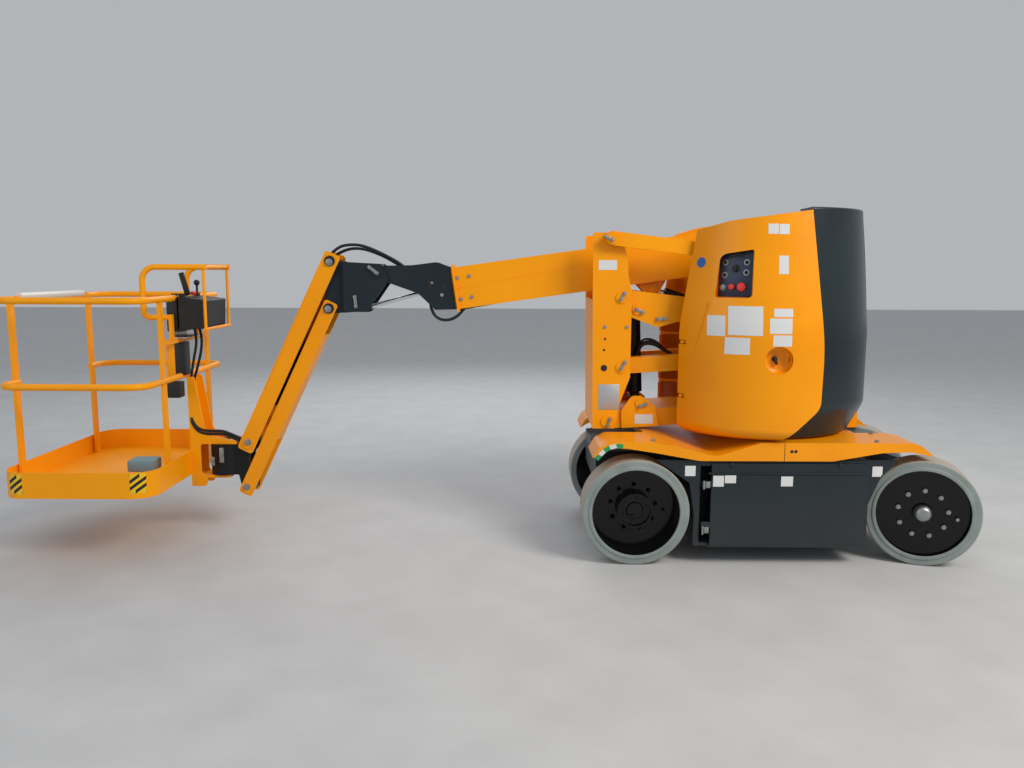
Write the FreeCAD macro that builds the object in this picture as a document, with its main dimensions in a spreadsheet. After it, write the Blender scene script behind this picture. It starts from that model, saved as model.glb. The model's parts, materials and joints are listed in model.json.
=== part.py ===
import FreeCAD, Part
import math
import os
import re

import Sketcher

# Articulating boom lift: electric, folded mast of two parallelograms, telescopic boom,
# parallelogram jib and turning basket. Millimetres, +Z up, +X towards the steered wheels,
# origin on the floor in the middle of the overall box. Shapes are drawn from the slew axis,
# which stands slewPlaceX ahead of the origin; the near side is -Y.

doc = FreeCAD.newDocument("BoomLift")

# columns: name, value
sizeTable = [
    ("slewPlaceX", 1605.03),
    # wheels and axles
    ("wheelBase", 1650), ("wheelR", 300), ("wheelWide", 190), ("wheelFaceY", 600),
    ("tyreThick", 39), ("tyreRound", 9), ("rimWall", 8), ("discThick", 13),
    ("rearDiscIn", 110), ("hubR", 96), ("hubHigh", 34), ("frontDiscIn", 26), ("capR", 47),
    ("capHigh", 17), ("frontHubR", 70), ("spindleR", 32), ("spindleEnd", 70), ("fit", 0.05),
    ("kingpinY", 450), ("kingpinR", 18), ("knuckleR", 38), ("knuckleHigh", 140),
    ("steerRest", 18), ("seatGap", 0.3),
    ("axleBeamLong", 110), ("axleBeamHigh", 150), ("forkThick", 20), ("forkR", 40),
    ("motorR", 100), ("motorFaceY", 404), ("driveBoxLong", 170), ("driveBoxHigh", 200.6),
    ("driveBoxHalf", 350),
    # chassis
    ("frameTop", 600), ("frameEnd", 1030), ("spineHalf", 190), ("rearHalf", 350),
    ("clearHigh", 110), ("bayStart", -500), ("bayEnd", 470), ("sideY", 600),
    ("doorThick", 15), ("bayWall", 15), ("bayDepth", 215), ("doorStart", -410),
    ("doorEnd", 460), ("doorTop", 585), ("doorHingeX", -455), ("hingeR", 9),
    ("batteryLong", 780), ("batteryHigh", 380), ("batteryDeep", 180),
    ("coverTop", 703), ("coverHalf", 600), ("coverTail", -1071), ("coverNose", 818),
    ("fenderIn", 300), ("valleyX", -391), ("valleyZ", 624), ("frameNose", 900),
    ("archTopReach", 215), ("archLowDrop", 300),
    ("ringR", 295), ("ringBoreR", 200), ("ringHoleGap", 15), ("ringTop", 706),
    # turntable
    ("deckLow", 712), ("deckThick", 15), ("deckR", 500),
    ("plateIn", 237.5), ("plateThick", 15), ("towerBack", 520), ("towerFront", 285),
    ("coverHalfGap", 330), ("hoodEndX", 110), ("hoodGroove", 12), ("hoodWall", 14),
    ("slotEndX", 530), ("slotWideX", 440), ("slotHalf", 268), ("coverLow", 715), ("lowR", 520), ("shoulderR", 604), ("shoulderZ", 880),
    ("bellyR", 603), ("bellyZ", 1300), ("crownR", 546), ("crownTop", 1988), ("coverStartX", -15),
    ("castTop", 1200), ("hoodLowR", 585), ("hoodR", 652), ("hoodWaistZ", 1330),
    ("hoodTopR", 565), ("hoodCeiling", 1790), ("hoodFrontZ", 1808), ("hoodMidX", -330),
    ("hoodMidZ", 1915), ("hoodRearZ", 1978), ("hoodEdgeLean", 80), ("latchX", -80),
    ("latchZ", 1165), ("latchR", 74), ("panelX", -302), ("panelZ", 1628), ("panelLong", 178),
    ("panelHigh", 262), ("hoodHingeX", -545), ("hoodHingeY", 345), ("hoodPinR", 6),
    ("hoodHingeLow", 930), ("hoodHingeHigh", 1240), ("hoodPostX", -410), ("hoodPostIn", 268),
    ("hoodPostOut", 280),
    ("unitLong", 360), ("unitHigh", 380), ("unitDeep", 90), ("unitX", -210),
    # folded mast
    ("towerPinX", 360), ("towerPinZ", 837.5), ("armLength", 1317), ("armSlope", 3.5),
    ("linkShiftX", 77), ("linkShiftZ", 324), ("postArmShiftX", 69.5), ("postArmRise", 730.9),
    ("upperLength", 1200), ("upperSlope", 7), ("upperShiftX", -65), ("upperShiftZ", 338),
    ("boomShiftX", -156), ("boomShiftZ", 478), ("boomFootX", -205), ("boomFootZ", -72),
    ("armHalf", 200), ("armDepth", 105), ("armPinR", 30), ("linkPinR", 25), ("armBossR", 56),
    ("linkIn", 120), ("linkDepth", 92), ("linkBossR", 46), ("linkBraceX", -500),
    ("lugThick", 12), ("armFootX", -1121), ("armFootZ", 93), ("cylinderPinR", 22),
    ("upperPlateIn", 205), ("upperDepth", 104), ("rodEyeX", 103), ("rodEyeZ", -59),
    ("wedgePinX", 238), ("wedgePinZ", -95),
    ("outerLinkIn", 262), ("outerLinkWide", 38), ("outerLinkDepth", 80),
    ("postLeft", -90), ("postWeb", 12), ("postTop", 1102), ("postWebTop", 715),
    ("postDrop", 43), ("headPlate", 7),
    # boom
    ("boomSlope", 8.1), ("boomHigh", 250), ("boomHalf", 80), ("boomWall", 8),
    ("boomFront", 2025), ("boomTail", 110), ("flangeThick", 15), ("flangeLip", 16),
    ("boomPinR", 30), ("boomHubR", 52), ("boomHubHalf", 230),
    ("boomLugX", -860), ("boomLugZ", -176), ("innerGap", 6), ("innerRear", -330),
    ("innerCollar", 60), ("innerFront", 2050),
    ("headReach", 2482), ("headRise", 160), ("headHalf", 80), ("headWall", 14),
    ("headPinR", 25), ("levelShiftX", -72), ("levelShiftZ", -213), ("levelSlope", 15),
    ("levelRodR", 13), ("levelRodLong", 420), ("levelTubeR", 26), ("levelTubeStart", 355),
    ("levelTubeLong", 385), ("levelTrunnion", 370), ("levelEyeHalf", 20), ("levelEyeR", 26),
    # jib
    ("bracketHalf", 97), ("bracketWall", 12), ("jibTopShiftX", -282), ("jibTopShiftZ", 65),
    ("jibPinShiftX", -16), ("jibPinShiftZ", -283), ("jibLength", 1235), ("jibSlope", 64.4),
    ("earHalf", 66), ("earIn", 45), ("jibPinR", 22), ("jibUpperHalf", 95),
    ("jibUpperDepth", 98), ("jibLowerHalf", 80), ("jibLowerDepth", 85), ("jibWall", 8),
    ("jibBossR", 32), ("turnShiftX", -164), ("turnR", 92), ("turnLow", 378), ("turnTop", 572),
    ("turnPinR", 25),
    # cylinders
    ("armTubeR", 48), ("armTubeLong", 500), ("armRodR", 27), ("boomTubeR", 42),
    ("boomTubeLong", 740), ("boomRodR", 24), ("jibTubeR", 34), ("jibTubeLong", 700),
    ("jibRodR", 19), ("eyeHalf", 30), ("eyeR", 30), ("rodInside", 30), ("neckLong", 42), ("jibLugX", -1100),
    # basket
    ("basketIn", -200), ("basketLong", 855), ("basketHalf", 640), ("basketRound", 130),
    ("toeLow", 380), ("toeTop", 528), ("toeWall", 4), ("floorLow", 400), ("floorThick", 8),
    ("railR", 19), ("topRailZ", 1490), ("midRailZ", 1000), ("postLong", 45), ("postDeep", 18),
    ("boomPostY", 350), ("gateHalf", 385), ("gateTongue", 6), ("gatePinR", 5),
    ("supportHalf", 72), ("supportWall", 12), ("clampThick", 18), ("supportTop", 990),
    ("supportLow", 306),
    ("consoleLong", 175), ("consoleHalf", 170), ("consoleLow", 1290), ("consoleHigh", 190),
    ("crossBarZ", 1220), ("crossBarHigh", 30), ("guardR", 17), ("guardHalf", 200),
    ("guardLowZ", 1360), ("guardTop", 1655), ("guardOut", 195), ("guardBack", 183), ("guardBarR", 9),
]

sizes = doc.addObject("Spreadsheet::Sheet", "Sizes")
for row, (name, number) in enumerate(sizeTable, start=1):
    sizes.set(f"A{row}", name)
    sizes.set(f"B{row}", str(number))
    sizes.setAlias(f"B{row}", name)

# columns: name, formula from the sizes and from the places above it
placeTable = [
    ("frontAxleX", "wheelBase/2"), ("rearAxleX", "-wheelBase/2"),
    ("rimR", "wheelR - tyreThick"), ("wheelOut", "wheelFaceY - kingpinY"),
    ("wheelIn", "wheelOut - wheelWide"),
    ("axleTop", "wheelR + axleBeamHigh/2"), ("driveTop", "wheelR + driveBoxHigh/2"),
    ("bodyY", "sideY - doorThick"), ("deckTop", "deckLow + deckThick"),
    ("plateOut", "plateIn + plateThick"),
    ("postFootX", "towerPinX - armLength*cos(armSlope)"),
    ("postFootZ", "towerPinZ - armLength*sin(armSlope)"),
    ("towerLinkX", "towerPinX + linkShiftX"), ("towerLinkZ", "towerPinZ + linkShiftZ"),
    ("postArmX", "postFootX + postArmShiftX"), ("postArmZ", "postFootZ + postArmRise"),
    ("postTopX", "postArmX + upperShiftX"), ("postTopZ", "postArmZ + upperShiftZ"),
    ("topArmX", "postArmX + upperLength*cos(upperSlope)"),
    ("topArmZ", "postArmZ - upperLength*sin(upperSlope)"),
    ("boomX", "topArmX + boomShiftX"), ("boomZ", "topArmZ + boomShiftZ"),
    ("boomFootAxisX", "topArmX + boomFootX"), ("boomFootAxisZ", "topArmZ + boomFootZ"),
    ("boomEyeX", "boomX + boomLugX*cos(boomSlope) - boomLugZ*sin(boomSlope)"),
    ("boomEyeZ", "boomZ + boomLugX*sin(boomSlope) + boomLugZ*cos(boomSlope)"),
    ("armFootAxisX", "towerPinX + armFootX*cos(armSlope) - armFootZ*sin(armSlope)"),
    ("armFootAxisZ", "towerPinZ + armFootX*sin(armSlope) + armFootZ*cos(armSlope)"),
    ("armEyeX", "postArmX + rodEyeX*cos(upperSlope) + rodEyeZ*sin(upperSlope)"),
    ("armEyeZ", "postArmZ - rodEyeX*sin(upperSlope) + rodEyeZ*cos(upperSlope)"),
    ("headX", "boomX - headReach*cos(boomSlope) - headRise*sin(boomSlope)"),
    ("headZ", "boomZ - headReach*sin(boomSlope) + headRise*cos(boomSlope)"),
    ("levelX", "headX + levelShiftX"), ("levelZ", "headZ + levelShiftZ"),
    ("jibTopX", "headX + jibTopShiftX"), ("jibTopZ", "headZ + jibTopShiftZ"),
    ("jibLowX", "jibTopX + jibPinShiftX"), ("jibLowZ", "jibTopZ + jibPinShiftZ"),
    ("footTopX", "jibTopX - jibLength*cos(jibSlope)"),
    ("footTopZ", "jibTopZ - jibLength*sin(jibSlope)"),
    ("jibEyeX", "jibTopX + jibLugX*cos(jibSlope)"),
    ("jibEyeZ", "jibTopZ + jibLugX*sin(jibSlope)"),
    ("footLowX", "footTopX + jibPinShiftX"), ("footLowZ", "footTopZ + jibPinShiftZ"),
    ("turnX", "footTopX + turnShiftX"),
    ("basketRight", "turnX + basketIn"), ("basketLeft", "basketRight - basketLong"),
    ("railZ", "topRailZ - railR"),
]

places = doc.addObject("Spreadsheet::Sheet", "Places")
sizeNames = {name for name, number in sizeTable}
placeNames = {name for name, formula in placeTable}
word = re.compile(r"[A-Za-z]+")


def bound(text, sheet="Places."):
    """A formula in plain names becomes one that reads the two sheets."""
    def swap(found):
        name = found[0]
        if name in sizeNames:
            return "Sizes." + name
        return sheet + name if name in placeNames else name
    return word.sub(swap, str(text))


for row, (name, formula) in enumerate(placeTable, start=1):
    places.set(f"A{row}", name)
    places.set(f"B{row}", "=" + bound(formula, ""))
    places.setAlias(f"B{row}", name)
doc.recompute()


def number(text):
    return float(sizes.evalExpression(bound(text)))


def bind(thing, field, text):
    thing.setExpression(field, bound(text))


subParts = []


def newBody(label, x="0", y="0", z="0", axis=(0, 1, 0), turn=None):
    body = doc.addObject("PartDesign::Body", label)
    body.Label = label
    body.AllowCompound = True
    body.Placement = FreeCAD.Placement(FreeCAD.Vector(), FreeCAD.Rotation(FreeCAD.Vector(*axis), 1))
    bind(body, "Placement.Base.x", f"slewPlaceX + ({x})")
    bind(body, "Placement.Base.y", y)
    bind(body, "Placement.Base.z", z)
    bind(body, "Placement.Rotation.Angle", turn or "0")
    subParts.append(body)
    return body


def sketchOn(body, plane, offset):
    sketch = body.newObject("Sketcher::SketchObject", body.Label + "Sketch")
    support = next(item for item in body.Origin.OriginFeatures if item.Role == plane + "_Plane")
    sketch.AttachmentSupport = [(support, "")]
    sketch.MapMode = "FlatFace"
    bind(sketch, "AttachmentOffset.Base.z", offset)
    return sketch


def drawPath(sketch, corners, closed=True):
    """Lines through the corners (x, y) or (x, y, radius), each tied to its own formula."""
    texts = [(corner[0], corner[1], corner[2] if len(corner) > 2 else "0") for corner in corners]
    points = [FreeCAD.Vector(number(x), number(y), 0) for x, y, radius in texts]
    count = len(points)
    ends = []
    arcs = {}
    flipped = {}
    for index, (x, y, radius) in enumerate(texts):
        here = points[index]
        size = number(radius)
        if size <= 0:
            ends.append((here, here))
            continue
        back = (points[index - 1] - here).normalize()
        ahead = (points[(index + 1) % count] - here).normalize()
        half = math.acos(back.dot(ahead)) / 2
        start = here + back * (size / math.tan(half))
        stop = here + ahead * (size / math.tan(half))
        centre = here + (back + ahead).normalize() * (size / math.sin(half))
        middle = centre + (here - centre).normalize() * size
        ends.append((start, stop))
        flipped[index] = ahead.cross(back).z < 0
        arcs[index] = Part.Arc(*((stop, middle, start) if flipped[index] else (start, middle, stop)))
    runs = count if closed else count - 1
    first = sketch.GeometryCount
    lines = [Part.LineSegment(ends[i][1], ends[(i + 1) % count][0]) for i in range(runs)]
    sketch.addGeometry(lines + list(arcs.values()))
    arcAt = {index: first + runs + place for place, index in enumerate(arcs)}
    marks = [Part.Point(points[index]) for index in arcs]
    if marks:
        sketch.addGeometry(marks, True)
    markAt = {index: first + runs + len(arcs) + place for place, index in enumerate(arcs)}
    rules = []
    formulas = []

    def addRule(rule, text=None):
        if text is not None:
            formulas.append((len(rules), text))
        rules.append(rule)

    for index, (x, y, radius) in enumerate(texts):
        after = first + index
        before = first + (index - 1) % count
        holder, spot = after, 1
        if index in arcs:
            arc, mark = arcAt[index], markAt[index]
            enter, leave = (2, 1) if flipped[index] else (1, 2)
            addRule(Sketcher.Constraint("Tangent", before, 2, arc, enter))
            addRule(Sketcher.Constraint("Tangent", arc, leave, after, 1))
            addRule(Sketcher.Constraint("PointOnObject", mark, 1, before))
            addRule(Sketcher.Constraint("PointOnObject", mark, 1, after))
            addRule(Sketcher.Constraint("Radius", arc, number(radius)), radius)
            holder = mark
        elif closed or 0 < index < count - 1:
            addRule(Sketcher.Constraint("Coincident", before, 2, after, 1))
        elif index:
            holder, spot = before, 2
        addRule(Sketcher.Constraint("DistanceX", -1, 1, holder, spot, points[index].x), x)
        addRule(Sketcher.Constraint("DistanceY", -1, 1, holder, spot, points[index].y), y)
    base = sketch.ConstraintCount
    sketch.addConstraint(rules)
    for place, text in formulas:
        bind(sketch, f"Constraints[{base + place}]", text)


def drawCircles(sketch, circles):
    for x, y, radius in circles:
        centre = FreeCAD.Vector(number(x), number(y), 0)
        item = sketch.addGeometry(Part.Circle(centre, FreeCAD.Vector(0, 0, 1), number(radius)))
        for kind, text in (("DistanceX", x), ("DistanceY", y)):
            rule = sketch.addConstraint(Sketcher.Constraint(kind, -1, 1, item, 3, number(text)))
            bind(sketch, f"Constraints[{rule}]", text)
        rule = sketch.addConstraint(Sketcher.Constraint("Radius", item, number(radius)))
        bind(sketch, f"Constraints[{rule}]", radius)


cuts = []  # every feature that takes material away, compared at the end


def extrude(body, plane, low, high, draw, shapes, cut):
    """Pad or pocket between two stations along the plane's own axis (Y for XZ)."""
    sketch = sketchOn(body, plane, f"-({high})" if plane == "XZ" else low)
    draw(sketch, shapes)
    kind = "PartDesign::Pocket" if cut else "PartDesign::Pad"
    feature = body.newObject(kind, body.Label + ("Cut" if cut else "Pad"))
    feature.Profile = (sketch, [""])
    if cut:
        feature.Reversed = True
        cuts.append(feature)
    bind(feature, "Length", f"({high}) - ({low})")
    return feature


def slab(body, plane, corners, low, high, cut=False):
    return extrude(body, plane, low, high, drawPath, corners, cut)


def disc(body, plane, circles, low, high, cut=False):
    return extrude(body, plane, low, high, drawCircles, circles, cut)


def block(body, x0, x1, y0, y1, z0, z1, cut=False):
    return slab(body, "XZ", [(x0, z0), (x1, z0), (x1, z1), (x0, z1)], y0, y1, cut)


def spin(body, plane, corners, cut=False):
    """A profile of (distance from the axis, place along it) turned about the plane's upright."""
    sketch = sketchOn(body, plane, "0")
    drawPath(sketch, corners)
    kind = "PartDesign::Groove" if cut else "PartDesign::Revolution"
    feature = body.newObject(kind, body.Label + "Turn")
    feature.Profile = (sketch, [""])
    feature.ReferenceAxis = (sketch, ["V_Axis"])
    feature.Angle = 360
    if cut:
        cuts.append(feature)
    return feature


def pipe(body, plane, path, offset, profilePlane, centre, station, radius):
    """A round tube swept along an open path; its circle stands where the path starts."""
    spine = sketchOn(body, plane, offset)
    drawPath(spine, path, closed=False)
    ring = sketchOn(body, profilePlane, station)
    drawCircles(ring, [(centre[0], centre[1], radius)])
    feature = body.newObject("PartDesign::AdditivePipe", body.Label + "Pipe")
    feature.Profile = (ring, [""])
    feature.Spine = (spine, [])
    return feature


def bothSides(make, inner, outer):
    for low, high in ((f"-({outer})", f"-({inner})"), (inner, outer)):
        make(low, high)


sides = (("near", "-1"), ("far", "1"))

# wheels: rear pair driven and fixed, front pair steered and turned to one side


def wheelBody(label, front, sign):
    x = "frontAxleX" if front else "rearAxleX"
    turn = "-steerRest" if front else "0"
    return newBody(label, x, f"{sign}*kingpinY", "wheelR", (0, 0, 1), turn)


def wheelSet(name, front, side, sign):
    def out(text):
        return f"{sign}*({text})"

    tyre = wheelBody(f"tyre_{name}_{side}", front, sign)
    spin(tyre, "XY", [
        ("rimR", out("wheelIn")), ("wheelR", out("wheelIn"), "tyreRound"),
        ("wheelR", out("wheelOut"), "tyreRound"), ("rimR", out("wheelOut"))])
    rim = wheelBody(f"rim_{name}_{side}", front, sign)
    inside = "rimR - rimWall"
    bore = "spindleR + fit"
    barrel = [(inside, out("wheelIn")), ("rimR", out("wheelIn")), ("rimR", out("wheelOut")),
              (inside, out("wheelOut"))]
    if front:
        face = "wheelOut - frontDiscIn"
        spin(rim, "XY", [(bore, out("spindleEnd - 25")), ("frontHubR", out("spindleEnd - 25")),
                         ("frontHubR", out(f"{face} - discThick")),
                         (inside, out(f"{face} - discThick"))] + barrel + [
            (inside, out(face)), ("capR", out(face)), ("capR*0.7", out(f"{face} + capHigh")),
            ("0", out(f"{face} + capHigh")), ("0", out("spindleEnd + seatGap")),
            (bore, out("spindleEnd + seatGap"))])
    else:
        face = "wheelOut - rearDiscIn"
        spin(rim, "XY", [(bore, out(f"{face} - discThick")),
                         (inside, out(f"{face} - discThick"))] + barrel + [
            (inside, out(face)), ("hubR", out(face)), ("hubR", out(f"{face} + hubHigh"), "6"),
            ("0", out(f"{face} + hubHigh")), ("0", out("spindleEnd + seatGap")),
            (bore, out("spindleEnd + seatGap"))])


for side, sign in sides:
    wheelSet("rear", False, side, sign)
    wheelSet("front", True, side, sign)
    knuckle = wheelBody(f"knuckle_{side}", True, sign)
    disc(knuckle, "XY", [("0", "0", "knuckleR")], "-knuckleHigh/2", "knuckleHigh/2")
    pinReach = "knuckleHigh/2 + forkThick + 8"
    disc(knuckle, "XY", [("0", "0", "kingpinR")], f"-({pinReach})", pinReach)
    outward = ("0", "spindleEnd") if sign == "1" else ("-spindleEnd", "0")
    disc(knuckle, "XZ", [("0", "0", "spindleR")], *outward)

frontAxle = newBody("front_axle", "frontAxleX", "0", "wheelR")
halfLong = "axleBeamLong/2"
beamEnd = "kingpinY - knuckleR - 12"
slab(frontAxle, "XZ", [(f"-{halfLong}", "-axleBeamHigh/2"), (halfLong, "-axleBeamHigh/2"),
                       (halfLong, "axleBeamHigh/2"), (f"-{halfLong}", "axleBeamHigh/2")],
     f"-({beamEnd})", beamEnd)
forkFoot = "knuckleHigh/2 + seatGap"
for side, sign in sides:
    for low, high in ((f"-({forkFoot}) - forkThick", f"-({forkFoot})"),
                      (forkFoot, f"{forkFoot} + forkThick")):
        slab(frontAxle, "XY", [
            ("-forkR", f"{sign}*(kingpinY - 80)"), ("forkR", f"{sign}*(kingpinY - 80)"),
            ("forkR", f"{sign}*(kingpinY + forkR)", "forkR*0.9"),
            ("-forkR", f"{sign}*(kingpinY + forkR)", "forkR*0.9")], low, high)
for side, sign in sides:
    disc(frontAxle, "XY", [("0", f"{sign}*kingpinY", "kingpinR + fit")],
         f"-({forkFoot}) - forkThick - 1", f"{forkFoot} + forkThick + 1", cut=True)

rearAxle = newBody("rear_axle", "rearAxleX", "0", "wheelR")
block(rearAxle, "-driveBoxLong/2", "driveBoxLong/2", "-driveBoxHalf", "driveBoxHalf",
      "-driveBoxHigh/2", "driveBoxHigh/2")
disc(rearAxle, "XZ", [("0", "0", "motorR")], "-motorFaceY", "motorFaceY")
disc(rearAxle, "XZ", [("0", "0", "spindleR")], "-kingpinY - spindleEnd", "kingpinY + spindleEnd")

# chassis: a spine between the wheels and an open bay on each side, closed by a door

frame = newBody("chassis_frame")
slab(frame, "XZ", [
    ("-frameEnd", "driveTop"), ("bayStart", "driveTop"), ("bayStart", "clearHigh"),
    ("bayEnd", "clearHigh"), ("bayEnd", "axleTop"), ("frameNose", "axleTop"),
    ("frameNose", "frameTop - 100"), ("bayEnd + 130", "frameTop"), ("-frameEnd", "frameTop")],
     "-spineHalf", "spineHalf")
block(frame, "-frameEnd", "bayStart", "-rearHalf", "rearHalf", "driveTop", "frameTop")
slab(frame, "XZ", [
    ("bayStart", "clearHigh"), ("bayEnd", "clearHigh"), ("bayEnd", "frameTop"),
    ("bayStart", "frameTop")], "-bodyY", "bodyY")
bothSides(lambda low, high: block(frame, "doorHingeX - 15", "bayEnd - bayWall*2", low, high,
                                  "clearHigh + bayWall", "doorTop - bayWall", True),
          "bodyY - bayDepth", "bodyY")

archPanels = (
    [("bayStart", "frameTop"), ("bayStart - archTopReach", "frameTop"),
     ("bayStart - 28", "frameTop - 130"), ("bayStart", "frameTop - archLowDrop")],
    [("bayEnd", "frameTop"), ("bayEnd", "clearHigh + 240"), ("bayEnd + 60", "frameTop - 100"),
     ("bayEnd + 150", "frameTop")])
for corners in archPanels:
    bothSides(lambda low, high: slab(frame, "XZ", corners, low, high), "bodyY - 25", "bodyY")

for side, sign in sides:
    battery = newBody(f"battery_{side}", "(doorHingeX + bayEnd)/2", f"{sign}*(bodyY - bayDepth)",
                      "clearHigh + bayWall")
    block(battery, "-batteryLong/2", "batteryLong/2",
          *(("0", "batteryDeep") if sign == "1" else ("-batteryDeep", "0")), "0", "batteryHigh")
    door = newBody(f"side_door_{side}", "doorHingeX", f"{sign}*bodyY", "0")
    face = ("seatGap", "doorThick") if sign == "1" else ("-doorThick", "-seatGap")
    slab(door, "XZ", [
        ("doorStart - doorHingeX", "clearHigh"), ("doorEnd - doorHingeX", "clearHigh", "25"),
        ("doorEnd - doorHingeX", "doorTop", "12"), ("doorStart - doorHingeX", "doorTop")], *face)
    for height in ("clearHigh + 110", "doorTop - 130"):
        block(door, "0", "doorStart - doorHingeX", *face, height, f"{height} + 30")
        disc(door, "XY", [("0", f"{sign}*doorThick/2", "doorThick/2 - seatGap")],
             height, f"{height} + 30")

cover = newBody("chassis_cover")
slab(cover, "XZ", [
    ("coverTail", "coverTop - 90"), ("coverTail + 38", "coverTop - 66"),
    ("coverTail + 110", "coverTop - 32", "60"), ("coverTail + 190", "coverTop - 36", "100"),
    ("coverTail + 340", "coverTop - 58", "120"), ("coverTail + 590", "frameTop", "200"),
    ("coverNose - 560", "frameTop", "200"), ("coverNose - 290", "coverTop - 55", "150"),
    ("coverNose - 130", "coverTop - 50", "80"), ("coverNose", "coverTop - 75"),
    ("coverNose - 75", "coverTop - 14", "40"), ("coverNose - 140", "coverTop", "60"),
    ("valleyX + 250", "coverTop", "100"), ("valleyX", "valleyZ", "150"),
    ("valleyX - 220", "coverTop - 20", "150"), ("valleyX - 350", "coverTop", "100"),
    ("coverTail + 90", "coverTop", "60"), ("coverTail + 34", "coverTop - 32", "20")],
     "-coverHalf", "coverHalf")
for x0, x1 in (("coverTail - 1", "coverTail + 320"), ("coverNose - 330", "coverNose + 1")):
    block(cover, x0, x1, "-fenderIn", "fenderIn", "frameTop", "coverTop + 10", True)
disc(cover, "XY", [("0", "0", "ringR + ringHoleGap")], "frameTop - 20", "coverTop + 10", cut=True)

ring = newBody("slew_ring")
disc(ring, "XY", [("0", "0", "ringR")], "frameTop", "ringTop")
disc(ring, "XY", [("0", "0", "ringBoreR")], "frameTop", "ringTop", cut=True)

# turntable: deck, tower cheeks that carry the mast, castings and covers round them

turntable = newBody("turntable_frame")
disc(turntable, "XY", [("0", "0", "deckR")], "deckLow", "deckTop")
disc(turntable, "XY", [("0", "0", "ringR - 10")], "ringTop + seatGap", "deckLow")
slab(turntable, "XZ", [
    ("towerFront", "deckTop"), ("towerBack", "deckTop"), ("towerBack", "towerLinkZ + 20"),
    ("towerLinkX + 30", "towerLinkZ + 62", "20"), ("towerLinkX - 40", "towerLinkZ + 62", "30"),
    ("towerPinX - 65", "towerPinZ + 90", "60"), ("towerPinX - 75", "towerPinZ - 40", "30")],
     "-plateOut", "plateOut")
for side, sign in sides:
    post0, post1 = (("-hoodPostOut", "-hoodPostIn") if sign == "-1" else
                    ("hoodPostIn", "hoodPostOut"))
    block(turntable, "hoodPostX", "hoodPostX + 40", post0, post1, "deckLow + 2", "hoodHingeHigh + 20")
    for height in ("hoodHingeLow", "hoodHingeHigh"):
        low, high = f"{height} - lugThick/2", f"{height} + lugThick/2"
        slab(turntable, "XY", [
            ("hoodPostX + 40", f"{sign}*hoodPostIn"), ("hoodPostX", f"{sign}*hoodPostIn"),
            ("hoodHingeX - 13", f"{sign}*(hoodHingeY - 10)", "10"),
            ("hoodHingeX - 13", f"{sign}*(hoodHingeY + 14)", "10"),
            ("hoodHingeX + 20", f"{sign}*(hoodHingeY + 12)", "10"),
            ("hoodPostX + 40", f"{sign}*hoodPostOut")], low, high)
        disc(turntable, "XY", [("hoodHingeX", f"{sign}*hoodHingeY", "hoodPinR + fit")],
             f"{low} - 1", f"{high} + 1", cut=True)
block(turntable, "towerFront - 5", "towerBack - plateThick", "-plateIn", "plateIn",
      "deckTop", "towerLinkZ + 70", True)
towerHoles = [("towerPinX", "towerPinZ", "armPinR + fit"),
              ("towerLinkX", "towerLinkZ", "linkPinR + fit")]
disc(turntable, "XZ", towerHoles, "-plateOut - 1", "plateOut + 1", cut=True)

pinHeadR = "armPinR + 9"


def pinRow(label, x, z, pins):
    """Pins across the machine; columns: x, z, radius, inner half (0 when whole), outer half."""
    body = newBody(label, x, "0", z)
    for px, pz, radius, inner, outer in pins:
        spans = [(f"-({outer})", outer)]
        if inner != "0":
            spans = [(f"-({outer})", f"-({inner})"), (inner, outer)]
        for low, high in spans:
            disc(body, "XZ", [(px, pz, radius)], low, high)
        for low, high in ((f"-({outer}) - headPlate", f"-({outer})"),
                          (outer, f"{outer} + headPlate")):
            disc(body, "XZ", [(px, pz, f"{radius} + 9")], low, high)
    return body


plateEnd = "plateOut + seatGap"
linkEnd = "outerLinkIn + outerLinkWide + seatGap"
pinRow("tower_pins", "towerPinX", "towerPinZ", [
    ("0", "0", "armPinR", "0", plateEnd), ("linkShiftX", "linkShiftZ", "linkPinR", "0", plateEnd)])

shellRound = "crownR*2.2"
outerProfile = [
    ("lowR", "coverLow", "15"), ("shoulderR", "shoulderZ", "110"),
    ("bellyR", "bellyZ", shellRound), ("crownR", "crownTop", "12")]
bigger = "hoodR + 50"
edgeTopZ = "crownTop + 10"
edgeLowZ = "castTop"


def edgeX(z):
    """The hood's rear edge leans back from its top down to the waist."""
    return f"hoodEndX - 22 + hoodEdgeLean*({edgeTopZ} - ({z}))/({edgeTopZ} - {edgeLowZ})"


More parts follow.
